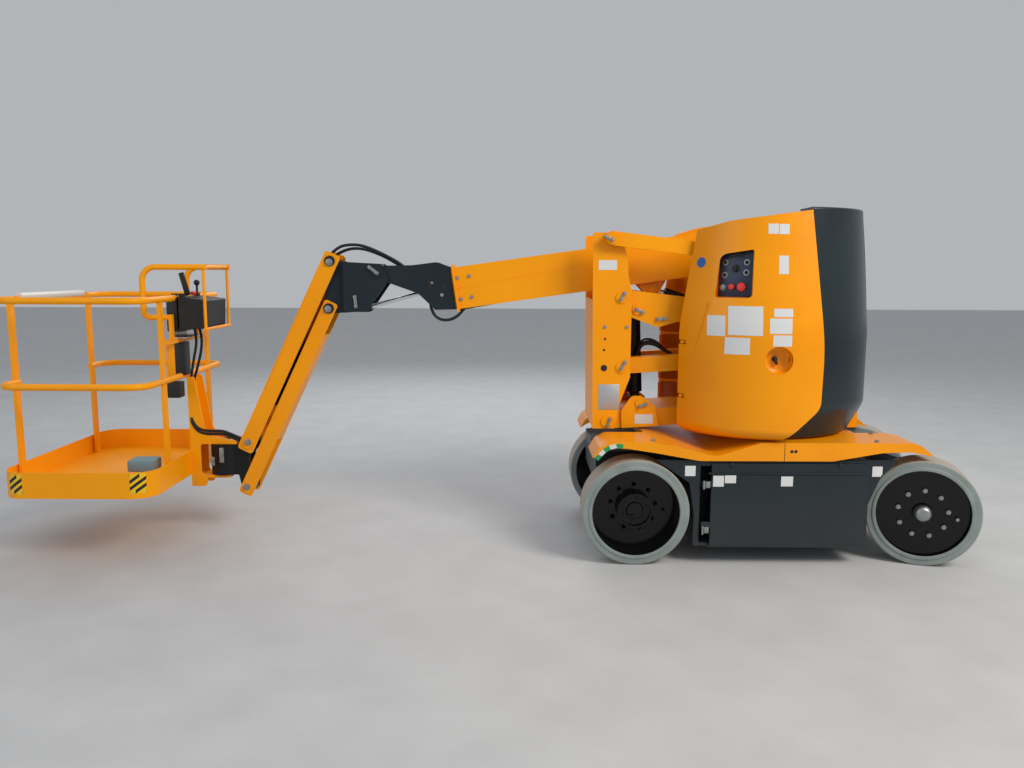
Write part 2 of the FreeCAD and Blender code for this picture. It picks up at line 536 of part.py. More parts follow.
for side, sign in sides:
    hood = newBody(f"hood_{side}")
    spin(hood, "XZ", [
        ("0", "coverLow"), ("hoodLowR", "coverLow"), ("hoodR", "coverLow + 25", "60"),
        ("hoodR", "hoodWaistZ", "900"), ("hoodTopR", "crownTop"), ("0", "crownTop")])
    spin(hood, "XZ", [
        ("1", "coverLow - 1"), ("hoodLowR - hoodWall", "coverLow - 1"),
        ("hoodLowR - hoodWall", "coverLow + 8"), ("hoodR - hoodWall", "coverLow + 35", "46"),
        ("hoodR - hoodWall", "hoodWaistZ", "886"),
        ("hoodR - hoodWall - (hoodR - hoodTopR)*(hoodCeiling - hoodWaistZ)/(crownTop - hoodWaistZ)",
         "hoodCeiling"), ("1", "hoodCeiling")], cut=True)
    inward = ("-coverHalfGap", bigger) if sign == "-1" else (f"-({bigger})", "coverHalfGap")
    block(hood, f"-({bigger})", bigger, *inward, "coverLow - 10", "crownTop + 10", True)
    slab(hood, "XZ", [
        (edgeX(edgeTopZ), edgeTopZ), (edgeX(edgeLowZ), edgeLowZ, "1500"),
        ("hoodEndX + 52", "shoulderZ + 20", "90"), ("hoodEndX - 160", "coverLow - 10"),
        (bigger, "coverLow - 10"), (bigger, edgeTopZ)], f"-({bigger})", bigger, cut=True)
    slab(hood, "XZ", [
        (f"-({bigger})", "hoodFrontZ"), ("-hoodTopR*0.92", "hoodFrontZ + 50", "150"),
        ("hoodMidX", "hoodMidZ", "400"), (bigger, "hoodRearZ + 70"), (bigger, "crownTop + 90"),
        (f"-({bigger})", "crownTop + 90")], f"-({bigger})", bigger, cut=True)
    hollow = ("-440", "-coverHalfGap + 1") if sign == "-1" else ("coverHalfGap - 1", "440")
    slab(hood, "XZ", [
        ("hoodMidX", "hoodCeiling - 1"), ("hoodEndX - 50", "hoodCeiling - 1"),
        ("hoodEndX - 50", "hoodMidZ + 35"), ("hoodMidX + 30", "hoodMidZ - 10"),
        ("hoodMidX", "hoodMidZ - 17")], *hollow, cut=True)
    outward = (f"-({bigger})", "-coverHalfGap") if sign == "-1" else ("coverHalfGap", bigger)
    disc(hood, "XZ", [("latchX", "latchZ", "latchR")], *outward, cut=True)
    if side == "near":
        slab(hood, "XZ", [
            ("panelX - panelLong*0.56", "panelZ - panelHigh/2", "15"),
            ("panelX + panelLong*0.44", "panelZ - panelHigh/2", "25"),
            ("panelX + panelLong/2", "panelZ + panelHigh/2", "8"),
            ("panelX - panelLong*0.4", "panelZ + panelHigh*0.4", "45")], *outward, cut=True)
    notch = "hoodHingeY + 32"
    nearSpan = (f"-({notch})", "-coverHalfGap + 5") if sign == "-1" else ("coverHalfGap - 5", notch)
    for height in ("hoodHingeLow", "hoodHingeHigh"):
        block(hood, f"-({bigger})", "hoodHingeX + 48", *nearSpan, f"{height} - lugThick/2 - 6",
              f"{height} + lugThick/2 + 6", True)
    for height in ("hoodHingeLow", "hoodHingeHigh"):
        disc(hood, "XY", [("hoodHingeX", f"{sign}*hoodHingeY", "hoodPinR")],
             f"{height} - lugThick/2 - 14", f"{height} + lugThick/2 + 14")

rearSlots = (
    (f"-({bigger})", "slotWideX", "-coverHalfGap + 10", "coverHalfGap - 10"),
    ("slotWideX - 1", "slotEndX", "-slotHalf", "slotHalf"))
castR = "shoulderR + (bellyR - shoulderR)*(castTop - shoulderZ)/(bellyZ - shoulderZ)"
weight = newBody("counterweight")
spin(weight, "XZ", [("0", "coverLow")] + outerProfile[:2] + [(castR, "castTop"), ("0", "castTop")])
block(weight, f"-({bigger})", "coverStartX", f"-({bigger})", bigger, "coverLow - 1",
      "castTop + 1", True)
for slot in rearSlots:
    block(weight, *slot, "coverLow - 1", "castTop + 1", True)
disc(weight, "XY", [("0", "0", "deckR + 2")], "coverLow - 1", "deckTop + seatGap", cut=True)
rearCover = newBody("rear_cover")
spin(rearCover, "XZ", [(castR, "castTop + seatGap")] + outerProfile[2:] + [
    ("1", "crownTop"), ("1", "crownTop - hoodWall"), ("crownR - hoodWall", "crownTop - hoodWall"),
    ("bellyR - hoodWall", "bellyZ", f"{shellRound} - hoodWall"),
    (f"{castR} - hoodWall", "castTop + seatGap")])
stepZ = "hoodCeiling - 30"
slab(rearCover, "XZ", [
    (f"-({bigger})", "castTop - 1"), ("coverStartX", "castTop - 1"), ("coverStartX", stepZ),
    (f"{edgeX(stepZ)} + hoodGroove", stepZ), (f"{edgeX(edgeTopZ)} + hoodGroove", edgeTopZ),
    (f"-({bigger})", edgeTopZ)], f"-({bigger})", bigger, cut=True)
for slot in rearSlots:
    block(rearCover, *slot, "castTop - 1", "crownTop + 1", True)

powerUnit = newBody("power_unit", "unitX", "0", "deckTop")
block(powerUnit, "-unitLong/2", "unitLong/2", "-coverHalfGap - unitDeep", "-coverHalfGap + 30",
      "0", "unitHigh")

# lower arm of the mast, with cheeks outside it for the lift cylinder's foot

lowerArm = newBody("lower_arm", "towerPinX", "0", "towerPinZ", turn="-armSlope")
slab(lowerArm, "XZ", [
    ("-armLength - armBossR", "-armDepth/2", "armDepth*0.4"), ("armBossR", "-armDepth/2", "armDepth*0.4"),
    ("armBossR", "armDepth/2", "armDepth*0.4"), ("-armLength - armBossR", "armDepth/2", "armDepth*0.4")],
     "-armHalf", "armHalf")
bothSides(lambda low, high: slab(lowerArm, "XZ", [
    ("armFootX - 110", "-armDepth/2"), ("armFootX + 110", "-armDepth/2"),
    ("armFootX + 95", "armDepth/2 + 15", "20"), ("armFootX + 15", "armFootZ + 42", "30"),
    ("armFootX - 45", "armFootZ + 42", "30"), ("armFootX - 110", "armDepth/2", "30")], low, high),
    "armHalf", "armHalf + lugThick")
disc(lowerArm, "XZ", [("armFootX", "armFootZ", "cylinderPinR")], "-armHalf - lugThick - 8",
     "armHalf + lugThick + 8")
disc(lowerArm, "XZ", [("0", "0", "armPinR + fit"), ("-armLength", "0", "armPinR + fit")],
     "-armHalf - 1", "armHalf + 1", cut=True)

lowerLink = newBody("lower_link", "towerLinkX", "0", "towerLinkZ", turn="-armSlope")
bothSides(lambda low, high: slab(lowerLink, "XZ", [
    ("-armLength - linkBossR", "-linkDepth/2", "linkDepth*0.45"),
    ("linkBossR", "-linkDepth/2", "linkDepth*0.45"), ("linkBossR", "linkDepth/2", "linkDepth*0.45"),
    ("-armLength - linkBossR", "linkDepth/2", "linkDepth*0.45")], low, high), "linkIn", "armHalf")
block(lowerLink, "linkBraceX - 40", "linkBraceX + 40", "-linkIn", "linkIn", "-30", "30")
disc(lowerLink, "XZ", [("0", "0", "linkPinR + fit"), ("-armLength", "0", "linkPinR + fit")],
     "-armHalf - 1", "armHalf + 1", cut=True)

# mast post: two cheeks and a web on the basket side

post = newBody("mid_post", "postFootX", "0", "postFootZ")
slab(post, "XZ", [
    ("postLeft", "-postDrop", "8"), ("46", "-postDrop", "12"), ("62", "90", "30"),
    ("linkShiftX + 50", "linkShiftZ - 60", "30"), ("linkShiftX + 50", "postArmRise + 40", "40"),
    ("postArmShiftX + 36", "postArmRise + 120", "60"), ("postArmShiftX + 30", "postTop - 150", "60"),
    ("58", "postTop", "15"), ("postLeft - 14", "postTop", "12")], "-plateOut", "plateOut")
block(post, "postLeft + postWeb", "linkShiftX + 70", "-plateIn", "plateIn", "-postDrop - 5",
      "postTop + 5", True)
block(post, "postLeft - 20", "postLeft + postWeb + 1", "-plateIn", "plateIn", "postWebTop",
      "postTop + 5", True)
postPins = [
    ("0", "0", "armPinR"), ("linkShiftX", "linkShiftZ", "linkPinR"),
    ("postArmShiftX", "postArmRise", "linkPinR"),
    ("postArmShiftX + upperShiftX", "postArmRise + upperShiftZ", "linkPinR")]
disc(post, "XZ", [(x, z, f"{r} + fit") for x, z, r in postPins], "-plateOut - 1", "plateOut + 1",
     cut=True)
pinRow("mid_post_pins", "postFootX", "postFootZ", [
    pin + ("0", plateEnd) for pin in postPins[:3]] + [postPins[3] + ("plateIn", linkEnd)])

# upper arm: two side plates, an open top and a bottom web; the boom cylinder lies in it

upperArm = newBody("upper_arm", "postArmX", "0", "postArmZ", turn="upperSlope")
bothSides(lambda low, high: slab(upperArm, "XZ", [
    ("-48", "-48", "40"), ("60", "-105", "30"), ("wedgePinX", "-148", "40"),
    ("wedgePinX + 110", "-100", "60"), ("upperLength - 300", "-upperDepth/2", "200"),
    ("upperLength + 50", "-upperDepth/2", "40"), ("upperLength + 50", "upperDepth/2", "40"),
    ("-48", "47", "40")], low, high), "upperPlateIn", "upperPlateIn + plateThick")
for x in ("0", "upperLength"):
    disc(upperArm, "XZ", [(x, "0", "linkPinR + 19")], "-upperPlateIn", "upperPlateIn")
block(upperArm, "wedgePinX + 112", "upperLength/2 - 60", "-upperPlateIn", "upperPlateIn", "-72", "-64")
bothSides(lambda low, high: disc(
    upperArm, "XZ", [("rodEyeX", "rodEyeZ", "cylinderPinR")], low, high),
    "eyeHalf + seatGap", "upperPlateIn")
bothSides(lambda low, high: disc(
    upperArm, "XZ", [("wedgePinX", "wedgePinZ", "cylinderPinR"),
                     ("rodEyeX", "rodEyeZ", "cylinderPinR + 8")], low, high),
    "upperPlateIn + plateThick", "upperPlateIn + plateThick + headPlate")
disc(upperArm, "XZ", [("0", "0", "linkPinR + fit"), ("upperLength", "0", "linkPinR + fit")],
     "-upperPlateIn - plateThick - 1", "upperPlateIn + plateThick + 1", cut=True)

upperLink = newBody("upper_link", "postTopX", "0", "postTopZ", turn="upperSlope")
bothSides(lambda low, high: slab(upperLink, "XZ", [
    ("-outerLinkDepth/2", "-outerLinkDepth/2", "outerLinkDepth*0.45"),
    ("upperLength + outerLinkDepth/2", "-outerLinkDepth/2", "outerLinkDepth*0.45"),
    ("upperLength + outerLinkDepth/2", "outerLinkDepth/2", "outerLinkDepth*0.45"),
    ("-outerLinkDepth/2", "outerLinkDepth/2", "outerLinkDepth*0.45")], low, high),
    "outerLinkIn", "outerLinkIn + outerLinkWide")
disc(upperLink, "XZ", [("0", "0", "linkPinR + fit"), ("upperLength", "0", "linkPinR + fit")],
     f"-({linkEnd}) - 1", f"{linkEnd} + 1", cut=True)

# top post: carries the boom between its cheeks and the boom cylinder's foot on inner lugs

topPost = newBody("top_post", "topArmX", "0", "topArmZ")
slab(topPost, "XZ", [
    ("-58", "-100", "20"), ("78", "-100", "20"), ("78", "boomShiftZ", "60"),
    ("20", "boomShiftZ + 78", "40"), ("boomShiftX - 20", "boomShiftZ + 78", "40"),
    ("boomShiftX - 62", "boomShiftZ + 20", "30"), ("boomShiftX - 50", "boomShiftZ - 60", "40"),
    ("upperShiftX - 50", "upperShiftZ - 40", "40"), ("-58", "60", "60")], "-plateOut", "plateOut")
block(topPost, "boomShiftX - 70", "66", "-plateIn", "plateIn", "-105", "boomShiftZ + 85", True)
bothSides(lambda low, high: slab(topPost, "XZ", [
    ("66.5", "-100"), ("66.5", "-52"), ("boomFootX + 70", "-52", "10"),
    ("boomFootX + 30", "boomFootZ + 30", "10"), ("boomFootX - 30", "boomFootZ + 32", "25"),
    ("boomFootX - 30", "boomFootZ - 32", "25")], low, high), "eyeHalf + seatGap",
    "eyeHalf + seatGap + lugThick")
block(topPost, "66", "67", "-plateIn", "plateIn", "-100", "-52")
topPins = [("0", "0", "linkPinR"), ("upperShiftX", "upperShiftZ", "linkPinR"),
           ("boomShiftX", "boomShiftZ", "boomPinR")]
disc(topPost, "XZ", [(x, z, f"{r} + fit") for x, z, r in topPins], "-plateOut - 1",
     "plateOut + 1", cut=True)
disc(topPost, "XZ", [("boomFootX", "boomFootZ", "cylinderPinR + fit")], "-plateIn", "plateIn",
     cut=True)
topPinBody = pinRow("top_post_pins", "topArmX", "topArmZ", [
    topPins[0] + ("0", plateEnd), topPins[1] + ("plateIn", linkEnd), topPins[2] + ("0", plateEnd)])
disc(topPinBody, "XZ", [("boomFootX", "boomFootZ", "cylinderPinR")], "-eyeHalf - lugThick - 8",
     "eyeHalf + lugThick + 8")

# telescopic boom: square tube, flange at its mouth, lug under it, inner tube with a collar

boom = newBody("boom_outer", "boomX", "0", "boomZ", turn="-boomSlope")
inside = "boomHalf - boomWall"
insideHigh = "boomHigh/2 - boomWall"
block(boom, "-boomFront", "boomTail", "-boomHalf", "boomHalf", "-boomHigh/2", "boomHigh/2")
block(boom, "-boomFront - flangeThick", "-boomFront", "-boomHalf - flangeLip", "boomHalf + flangeLip",
      "-boomHigh/2 - flangeLip", "boomHigh/2 + flangeLip")
block(boom, "-boomFront - flangeThick - 1", "boomTail - boomWall", f"-({inside})", inside,
      f"-({insideHigh})", insideHigh, True)
disc(boom, "XZ", [("0", "0", "boomHubR")], "-boomHubHalf", "boomHubHalf")
disc(boom, "XZ", [("0", "0", "boomPinR + fit")], "-boomHubHalf - 1", "boomHubHalf + 1", cut=True)
bothSides(lambda low, high: slab(boom, "XZ", [
    ("boomLugX - 90", "-boomHigh/2"), ("boomLugX - 30", "boomLugZ - 30", "20"),
    ("boomLugX + 30", "boomLugZ - 30", "20"), ("boomLugX + 90", "-boomHigh/2")], low, high),
    "eyeHalf + 5", "eyeHalf + 5 + lugThick")
bothSides(lambda low, high: disc(boom, "XZ", [("boomLugX", "boomLugZ", "cylinderPinR")],
                                 low, high), "eyeHalf + seatGap", "eyeHalf + lugThick + 16")

inner = newBody("boom_inner", "boomX", "0", "boomZ", turn="-boomSlope")
innerHalf = f"{inside} - innerGap"
innerHigh = f"{insideHigh} - innerGap"
block(inner, "-innerFront", "innerRear", f"-({innerHalf})", innerHalf, f"-({innerHigh})", innerHigh)
block(inner, "innerRear - innerCollar", "innerRear", f"-({inside} - seatGap)", f"{inside} - seatGap",
      f"-({insideHigh} - seatGap)", f"{insideHigh} - seatGap")
block(inner, "-innerFront - 1", "innerRear + 1", f"-({innerHalf} - boomWall)",
      f"{innerHalf} - boomWall", f"-({innerHigh} - boomWall)", f"{innerHigh} - boomWall", True)

head = newBody("boom_head", "boomX", "0", "boomZ", turn="-boomSlope")
slab(head, "XZ", [
    ("-innerFront", "-boomHigh/2"), ("-innerFront", "boomHigh/2 + 6"),
    ("-innerFront - 70", "headRise + 10", "60"), ("-innerFront - 220", "headRise + 12", "80"),
    ("-headReach - 30", "headRise + 42", "35"), ("-headReach - 42", "headRise - 40", "35"),
    ("-headReach + 60", "headRise - 75", "40"), ("-innerFront - 210", "0", "100"),
    ("-innerFront - 123", "-boomHigh/2 + 14", "10")], "-headHalf", "headHalf")
slab(head, "XZ", [
    ("-innerFront + 1", "-boomHigh/2 + 28"), ("-innerFront + 1", "boomHigh/2 - 48"),
    ("-innerFront - 112", "headRise - 26", "40"), ("-headReach + 70", "headRise + 12", "30"),
    ("-headReach + 52", "-boomHigh/2 + 28")], "-headHalf + headWall", "headHalf - headWall", cut=True)
disc(head, "XZ", [("-headReach", "headRise", "headPinR + 20")], "-headHalf", "headHalf")
disc(head, "XZ", [("-headReach", "headRise", "headPinR + fit")], "-headHalf - 1", "headHalf + 1",
     cut=True)

levelRod = newBody("level_rod", "levelX", "0", "levelZ", turn="-levelSlope")
disc(levelRod, "YZ", [("0", "0", "levelRodR")], "10", "levelRodLong")
disc(levelRod, "XZ", [("0", "0", "levelEyeR")], "-levelEyeHalf", "levelEyeHalf")
levelTube = newBody("level_barrel", "levelX", "0", "levelZ", turn="-levelSlope")
disc(levelTube, "YZ", [("0", "0", "levelTubeR")], "levelTubeStart", "levelTubeStart + levelTubeLong")
disc(levelTube, "XZ", [("levelTrunnion", "0", "levelTubeR*0.6")],
     "-headHalf + headWall + seatGap", "headHalf - headWall - seatGap")
disc(levelTube, "YZ", [("0", "0", "levelRodR + fit")], "levelTubeStart - 1",
     "levelTubeStart + levelTubeLong - 20", cut=True)

# jib bracket: wide cheeks round the boom head, narrow ears for the jib

bracket = newBody("jib_bracket", "headX", "0", "headZ")
webX = "-205"
slab(bracket, "XZ", [
    (webX, "jibTopShiftZ - 5"), (webX, "levelShiftZ - 30"), ("levelShiftX + 10", "levelShiftZ - 20", "25"),
    ("66", "-50", "30"), ("30", "48", "25")], "-bracketHalf", "bracketHalf")
block(bracket, f"{webX} + bracketWall", "70", "-bracketHalf + bracketWall",
      "bracketHalf - bracketWall", "levelShiftZ - 40", "jibTopShiftZ + 40", True)
bothSides(lambda low, high: slab(bracket, "XZ", [
    (f"{webX} + 1", "levelShiftZ + 60"), (f"{webX} + 1", "levelShiftZ - 28"),
    ("levelShiftX + 26", "levelShiftZ - 28", "20"), ("levelShiftX + 26", "levelShiftZ + 28", "20")],
    low, high), "levelEyeHalf + 5", "levelEyeHalf + 5 + lugThick")
bothSides(lambda low, high: disc(bracket, "XZ", [("levelShiftX", "levelShiftZ", "14")], low, high),
          "levelEyeHalf + seatGap", "levelEyeHalf + 8")
bothSides(lambda low, high: slab(bracket, "XZ", [
    (f"{webX} + 1", "jibTopShiftZ - 5"), ("jibTopShiftX - 34", "jibTopShiftZ + 34", "30"),
    ("jibTopShiftX - 34", "jibTopShiftZ - 60", "20"),
    ("jibTopShiftX + jibPinShiftX - 20", "jibTopShiftZ + jibPinShiftZ + 60", "20"),
    ("jibTopShiftX + jibPinShiftX - 34", "jibTopShiftZ + jibPinShiftZ - 34", "30"),
    (f"{webX} + 1", "levelShiftZ - 30")], low, high), "earIn", "earHalf")
disc(bracket, "XZ", [
    ("0", "0", "headPinR + fit"), ("jibTopShiftX", "jibTopShiftZ", "jibPinR + fit"),
    ("jibTopShiftX + jibPinShiftX", "jibTopShiftZ + jibPinShiftZ", "jibPinR + fit")],
     "-bracketHalf - 1", "bracketHalf + 1", cut=True)
pinRow("jib_bracket_pins", "headX", "headZ", [
    ("0", "0", "headPinR", "0", "bracketHalf + seatGap"),
    ("jibTopShiftX", "jibTopShiftZ", "jibPinR", "0", "jibUpperHalf + seatGap"),
    ("jibTopShiftX + jibPinShiftX", "jibTopShiftZ + jibPinShiftZ", "jibPinR", "0",
     "jibLowerHalf + seatGap")])

# jib: two channels that face each other and nest


def jibLink(label, x, z, half, depth, sign):
    link = newBody(label, x, "0", z, turn="-jibSlope")
    slab(link, "XZ", [
        (f"-jibLength - {depth}/2", f"-{depth}/2", f"{depth}*0.2"),
        (f"{depth}/2", f"-{depth}/2", f"{depth}*0.2"), (f"{depth}/2", f"{depth}/2", f"{depth}*0.2"),
        (f"-jibLength - {depth}/2", f"{depth}/2", f"{depth}*0.2")], f"-{half}", half)
    web = f"{sign}*({depth}/2 - jibWall)"
    block(link, f"-jibLength - {depth}", depth, f"-({half} - jibWall)", f"{half} - jibWall",
          *((web, depth) if sign == "-1" else (f"-{depth}", web)), True)
    for end, open0, open1 in (("0", "160", "100"), ("-jibLength", "100", "350")):
        block(link, f"{end} - {open0}", f"{end} + {open1}", f"-({half} - jibWall)", f"{half} - jibWall",
              f"-{depth}", depth, True)
        bothSides(lambda low, high: disc(link, "XZ", [(end, "0", "jibBossR")], low, high),
                  "earHalf + seatGap", half)
    disc(link, "XZ", [("0", "0", "jibPinR + fit"), ("-jibLength", "0", "jibPinR + fit")],
         f"-{half} - 1", f"{half} + 1", cut=True)
    return link


jibUpper = jibLink("jib_upper", "jibTopX", "jibTopZ", "jibUpperHalf", "jibUpperDepth", "1")
bothSides(lambda low, high: disc(jibUpper, "XZ", [("jibLugX", "0", "cylinderPinR")], low, high),
          "eyeHalf + seatGap", "jibUpperHalf - 1")
bothSides(lambda low, high: disc(jibUpper, "XZ", [("jibLugX", "0", "jibBossR")], low, high),
          "earHalf + 3", "jibUpperHalf - 1")
jibLink("jib_lower", "jibLowX", "jibLowZ", "jibLowerHalf", "jibLowerDepth", "-1")

foot = newBody("jib_foot", "footTopX", "0", "0")
slab(foot, "XZ", [
    ("turnShiftX", "turnTop"), ("turnShiftX + 122", "turnTop"), ("-30", "footTopZ + 34"),
    ("34", "footTopZ + 34", "30"), ("34", "footTopZ - 34", "30"), ("0", "footTopZ - 75", "30"),
    ("-5", "footLowZ + 70", "30"), ("jibPinShiftX + 34", "footLowZ + 20", "20"),
    ("jibPinShiftX + 34", "footLowZ - 34", "30"),
    ("jibPinShiftX - 30", "footLowZ - 34", "20"), ("turnShiftX + 92", "turnLow"),
    ("turnShiftX", "turnLow")], "-earHalf", "earHalf")
block(foot, "-42", "60", "-earIn", "earIn", "footLowZ + 40", "footTopZ + 60", True)
disc(foot, "XY", [("turnShiftX", "0", "turnR")], "turnLow", "turnTop")
disc(foot, "XY", [("turnShiftX", "0", "turnPinR")], "turnLow - clampThick - 6",
     "turnTop + clampThick + 6")
disc(foot, "XZ", [("0", "footTopZ", "jibPinR + fit"), ("jibPinShiftX", "footLowZ", "jibPinR + fit")],
     "-earHalf - 1", "earHalf + 1", cut=True)
pinRow("jib_foot_pins", "footTopX", "0", [
    ("0", "footTopZ", "jibPinR", "0", "jibUpperHalf + seatGap"),
    ("jibPinShiftX", "footLowZ", "jibPinR", "0", "jibLowerHalf + seatGap")])

# cylinders: barrel on its foot pin, rod whose eye stands between the far pins


def cylinder(name, x, z, eyeX, eyeZ, tubeR, tubeLong, rodR, footHalf, footR, footPin):
    reach = f"sqrt(({eyeX} - {x})^2 + ({eyeZ} - {z})^2)"
    slope = f"-atan2({eyeZ} - {z}; {eyeX} - {x})"
    barrel = newBody(f"{name}_barrel", x, "0", z, turn=slope)
    disc(barrel, "YZ", [("0", "0", f"{footR}*0.8")], "0", "neckLong + 2")
    disc(barrel, "YZ", [("0", "0", tubeR)], "neckLong", tubeLong)
    disc(barrel, "XZ", [("0", "0", footR)], f"-({footHalf})", footHalf)
    disc(barrel, "XZ", [("0", "0", f"{footPin} + fit")], f"-({footHalf}) - 1", f"{footHalf} + 1",
         cut=True)
    disc(barrel, "YZ", [("0", "0", f"{rodR} + fit")], f"{footR} + 15", f"{tubeLong} + 1", cut=True)
    rod = newBody(f"{name}_rod", x, "0", z, turn=slope)
    disc(rod, "YZ", [("0", "0", rodR)], f"{footR} + 15 + rodInside", f"{reach} - eyeR + 6")
    disc(rod, "XZ", [(reach, "0", "eyeR")], "-eyeHalf", "eyeHalf")


cylinder("arm_cylinder", "armFootAxisX", "armFootAxisZ", "armEyeX", "armEyeZ", "armTubeR",
         "armTubeLong", "armRodR", "40", "38", "cylinderPinR")
cylinder("boom_cylinder", "boomFootAxisX", "boomFootAxisZ", "boomEyeX", "boomEyeZ", "boomTubeR",
         "boomTubeLong", "boomRodR", "eyeHalf", "32", "cylinderPinR")
cylinder("jib_cylinder", "jibLowX", "jibLowZ", "jibEyeX", "jibEyeZ", "jibTubeR", "jibTubeLong",
         "jibRodR", "earIn - 6", "32", "jibPinR")

# basket: pan, rails, support on the rotator, control box and its guard

pan = newBody("basket_floor", "basketRight", "0", "0")


def roundedPlan(inset):
    radius = f"basketRound - ({inset})"
    return [(f"-basketLong + {inset}", f"-basketHalf + {inset}", radius),
            (f"-({inset})", f"-basketHalf + {inset}", radius),
            (f"-({inset})", f"basketHalf - ({inset})", radius),
            (f"-basketLong + {inset}", f"basketHalf - ({inset})", radius)]


slab(pan, "XY", roundedPlan("0"), "toeLow", "toeTop")
slab(pan, "XY", roundedPlan("toeWall"), "floorLow + floorThick", "toeTop + 1", cut=True)
slab(pan, "XY", roundedPlan("toeWall"), "toeLow - 1", "floorLow", cut=True)

rails = newBody("basket_rails", "basketRight", "0", "0")
railIn = "toeWall + railR + 1"
railY = f"basketHalf - ({railIn})"
bend = f"basketRound - ({railIn})"
outerX = f"-basketLong + {railIn}"
pipe(rails, "XY", [
    (outerX, "-gateHalf - railR - 3"), (outerX, f"-({railY})", bend),
    (f"-({railIn})", f"-({railY})", bend), (f"-({railIn})", railY, bend),
    (outerX, railY, bend), (outerX, "gateHalf + railR + 3")], "railZ",
     "XZ", (outerX, "railZ"), "gateHalf + railR + 3", "railR")
pipe(rails, "XY", [
    (outerX, "-gateHalf - railR - 3"), (outerX, f"-({railY})", bend),
    (f"-({railIn})", f"-({railY})", bend), (f"-({railIn})", railY, bend),
    (outerX, railY, bend), (outerX, "gateHalf + railR + 3")], "midRailZ",
     "XZ", (outerX, "midRailZ"), "gateHalf + railR + 3", "railR")
for x0, x1 in ((f"{outerX} - railR", f"{outerX} - gateTongue - seatGap"),
               (f"{outerX} + gateTongue + seatGap", f"{outerX} + railR")):
    block(rails, x0, x1, "gateHalf - railR*0.8", "gateHalf + railR + 4", "railZ - railR*0.8",
          "railZ + railR*0.8")
    disc(rails, "YZ", [("gateHalf", "railZ", "gatePinR")],
         *((x0, f"{x1} + gateTongue*0.8") if x1.endswith("seatGap") else
           (f"{x0} - gateTongue*0.8", x1)))
block(rails, f"{outerX} - railR", f"{outerX} + railR", "-gateHalf - railR - 5",
      "-gateHalf + railR", "railZ - railR - 8", "railZ - railR - 1")
block(rails, f"{outerX} - railR", f"{outerX} + railR", "-gateHalf - railR - 12",
      "-gateHalf - railR - 4", "railZ - railR - 8", "railZ")
for x, y in ((outerX, "gateHalf + railR + 3 + postLong/2"), (f"-({railIn})", "boomPostY")):
    bothSides(lambda low, high: block(rails, f"{x} - postDeep/2", f"{x} + postDeep/2", low, high,
                                      "floorLow + floorThick", "railZ"),
              f"{y} - postLong/2", f"{y} + postLong/2")
block(rails, f"-({railIn}) - postDeep/2", f"-({railIn}) + postDeep/2", "-boomPostY", "boomPostY",
      "crossBarZ - crossBarHigh/2", "crossBarZ + crossBarHigh/2")
bothSides(lambda low, high: block(rails, f"-({railIn}) - postDeep/2", f"-({railIn}) + postDeep/2",
                                  low, high, "crossBarZ", "guardLowZ + guardR"),
          "guardHalf - guardR", "guardHalf + guardR")

gate = newBody("gate_bar", "basketLeft", "0", "0")
disc(gate, "XZ", [(railIn, "railZ", "railR")], "-gateHalf", "gateHalf - railR - 4")
block(gate, f"{railIn} - gateTongue", f"{railIn} + gateTongue", "gateHalf - railR*2", "gateHalf",
      "railZ - railR*0.8", "railZ + railR*0.8")
disc(gate, "YZ", [("gateHalf", "railZ", "railR*0.8")], f"{railIn} - gateTongue",
     f"{railIn} + gateTongue")
disc(gate, "YZ", [("gateHalf", "railZ", "gatePinR + fit")], f"{railIn} - railR",
     f"{railIn} + railR", cut=True)

support = newBody("basket_support", "turnX", "0", "0")
clampTop = "turnTop + seatGap"
clampLow = "turnLow - seatGap"
bothSides(lambda low, high: slab(support, "XZ", [
    ("basketIn + seatGap", "supportLow"), ("basketIn + 95", "supportLow", "20"),
    ("basketIn + 95", f"{clampLow} - clampThick"), ("40", f"{clampLow} - clampThick"),
    ("40", clampLow), ("basketIn + 62", clampLow, "20"), ("basketIn + 62", clampTop, "20"),
    ("90", clampTop), ("90", f"{clampTop} + clampThick", "6"), ("basketIn + 100", "turnTop + 60", "60"),
    ("basketIn + 42", "supportTop", "15"), ("basketIn + seatGap", "supportTop")], low, high),
    "supportHalf - supportWall", "supportHalf")
for low, high, reach in ((f"{clampLow} - clampThick", clampLow, "40"),
                         (clampTop, f"{clampTop} + clampThick", "90")):
    block(support, "basketIn + 40", reach, "-supportHalf", "supportHalf", low, high)
block(support, "basketIn + seatGap", "basketIn + supportWall", "-supportHalf", "supportHalf",
      "supportLow", "supportTop")
disc(support, "XY", [("0", "0", "turnPinR + fit")], "supportLow", "supportTop", cut=True)

console = newBody("control_box", "basketRight", "0", "0")
slab(console, "XZ", [
    ("seatGap", "consoleLow"), ("consoleLong - 10", "consoleLow", "15"),
    ("consoleLong", "consoleLow + consoleHigh*0.9", "10"), ("seatGap", "consoleLow + consoleHigh")],
     "-consoleHalf", "consoleHalf")
strapLow = "railZ + railR + seatGap"
for y in ("-consoleHalf*0.7", "consoleHalf*0.7"):
    block(console, f"-({railIn}) - railR", "30", f"{y} - 15", f"{y} + 15", strapLow, f"{strapLow} + 8")
    block(console, "seatGap", "30", f"{y} - 15", f"{y} + 15", "consoleLow + consoleHigh*0.8", strapLow)

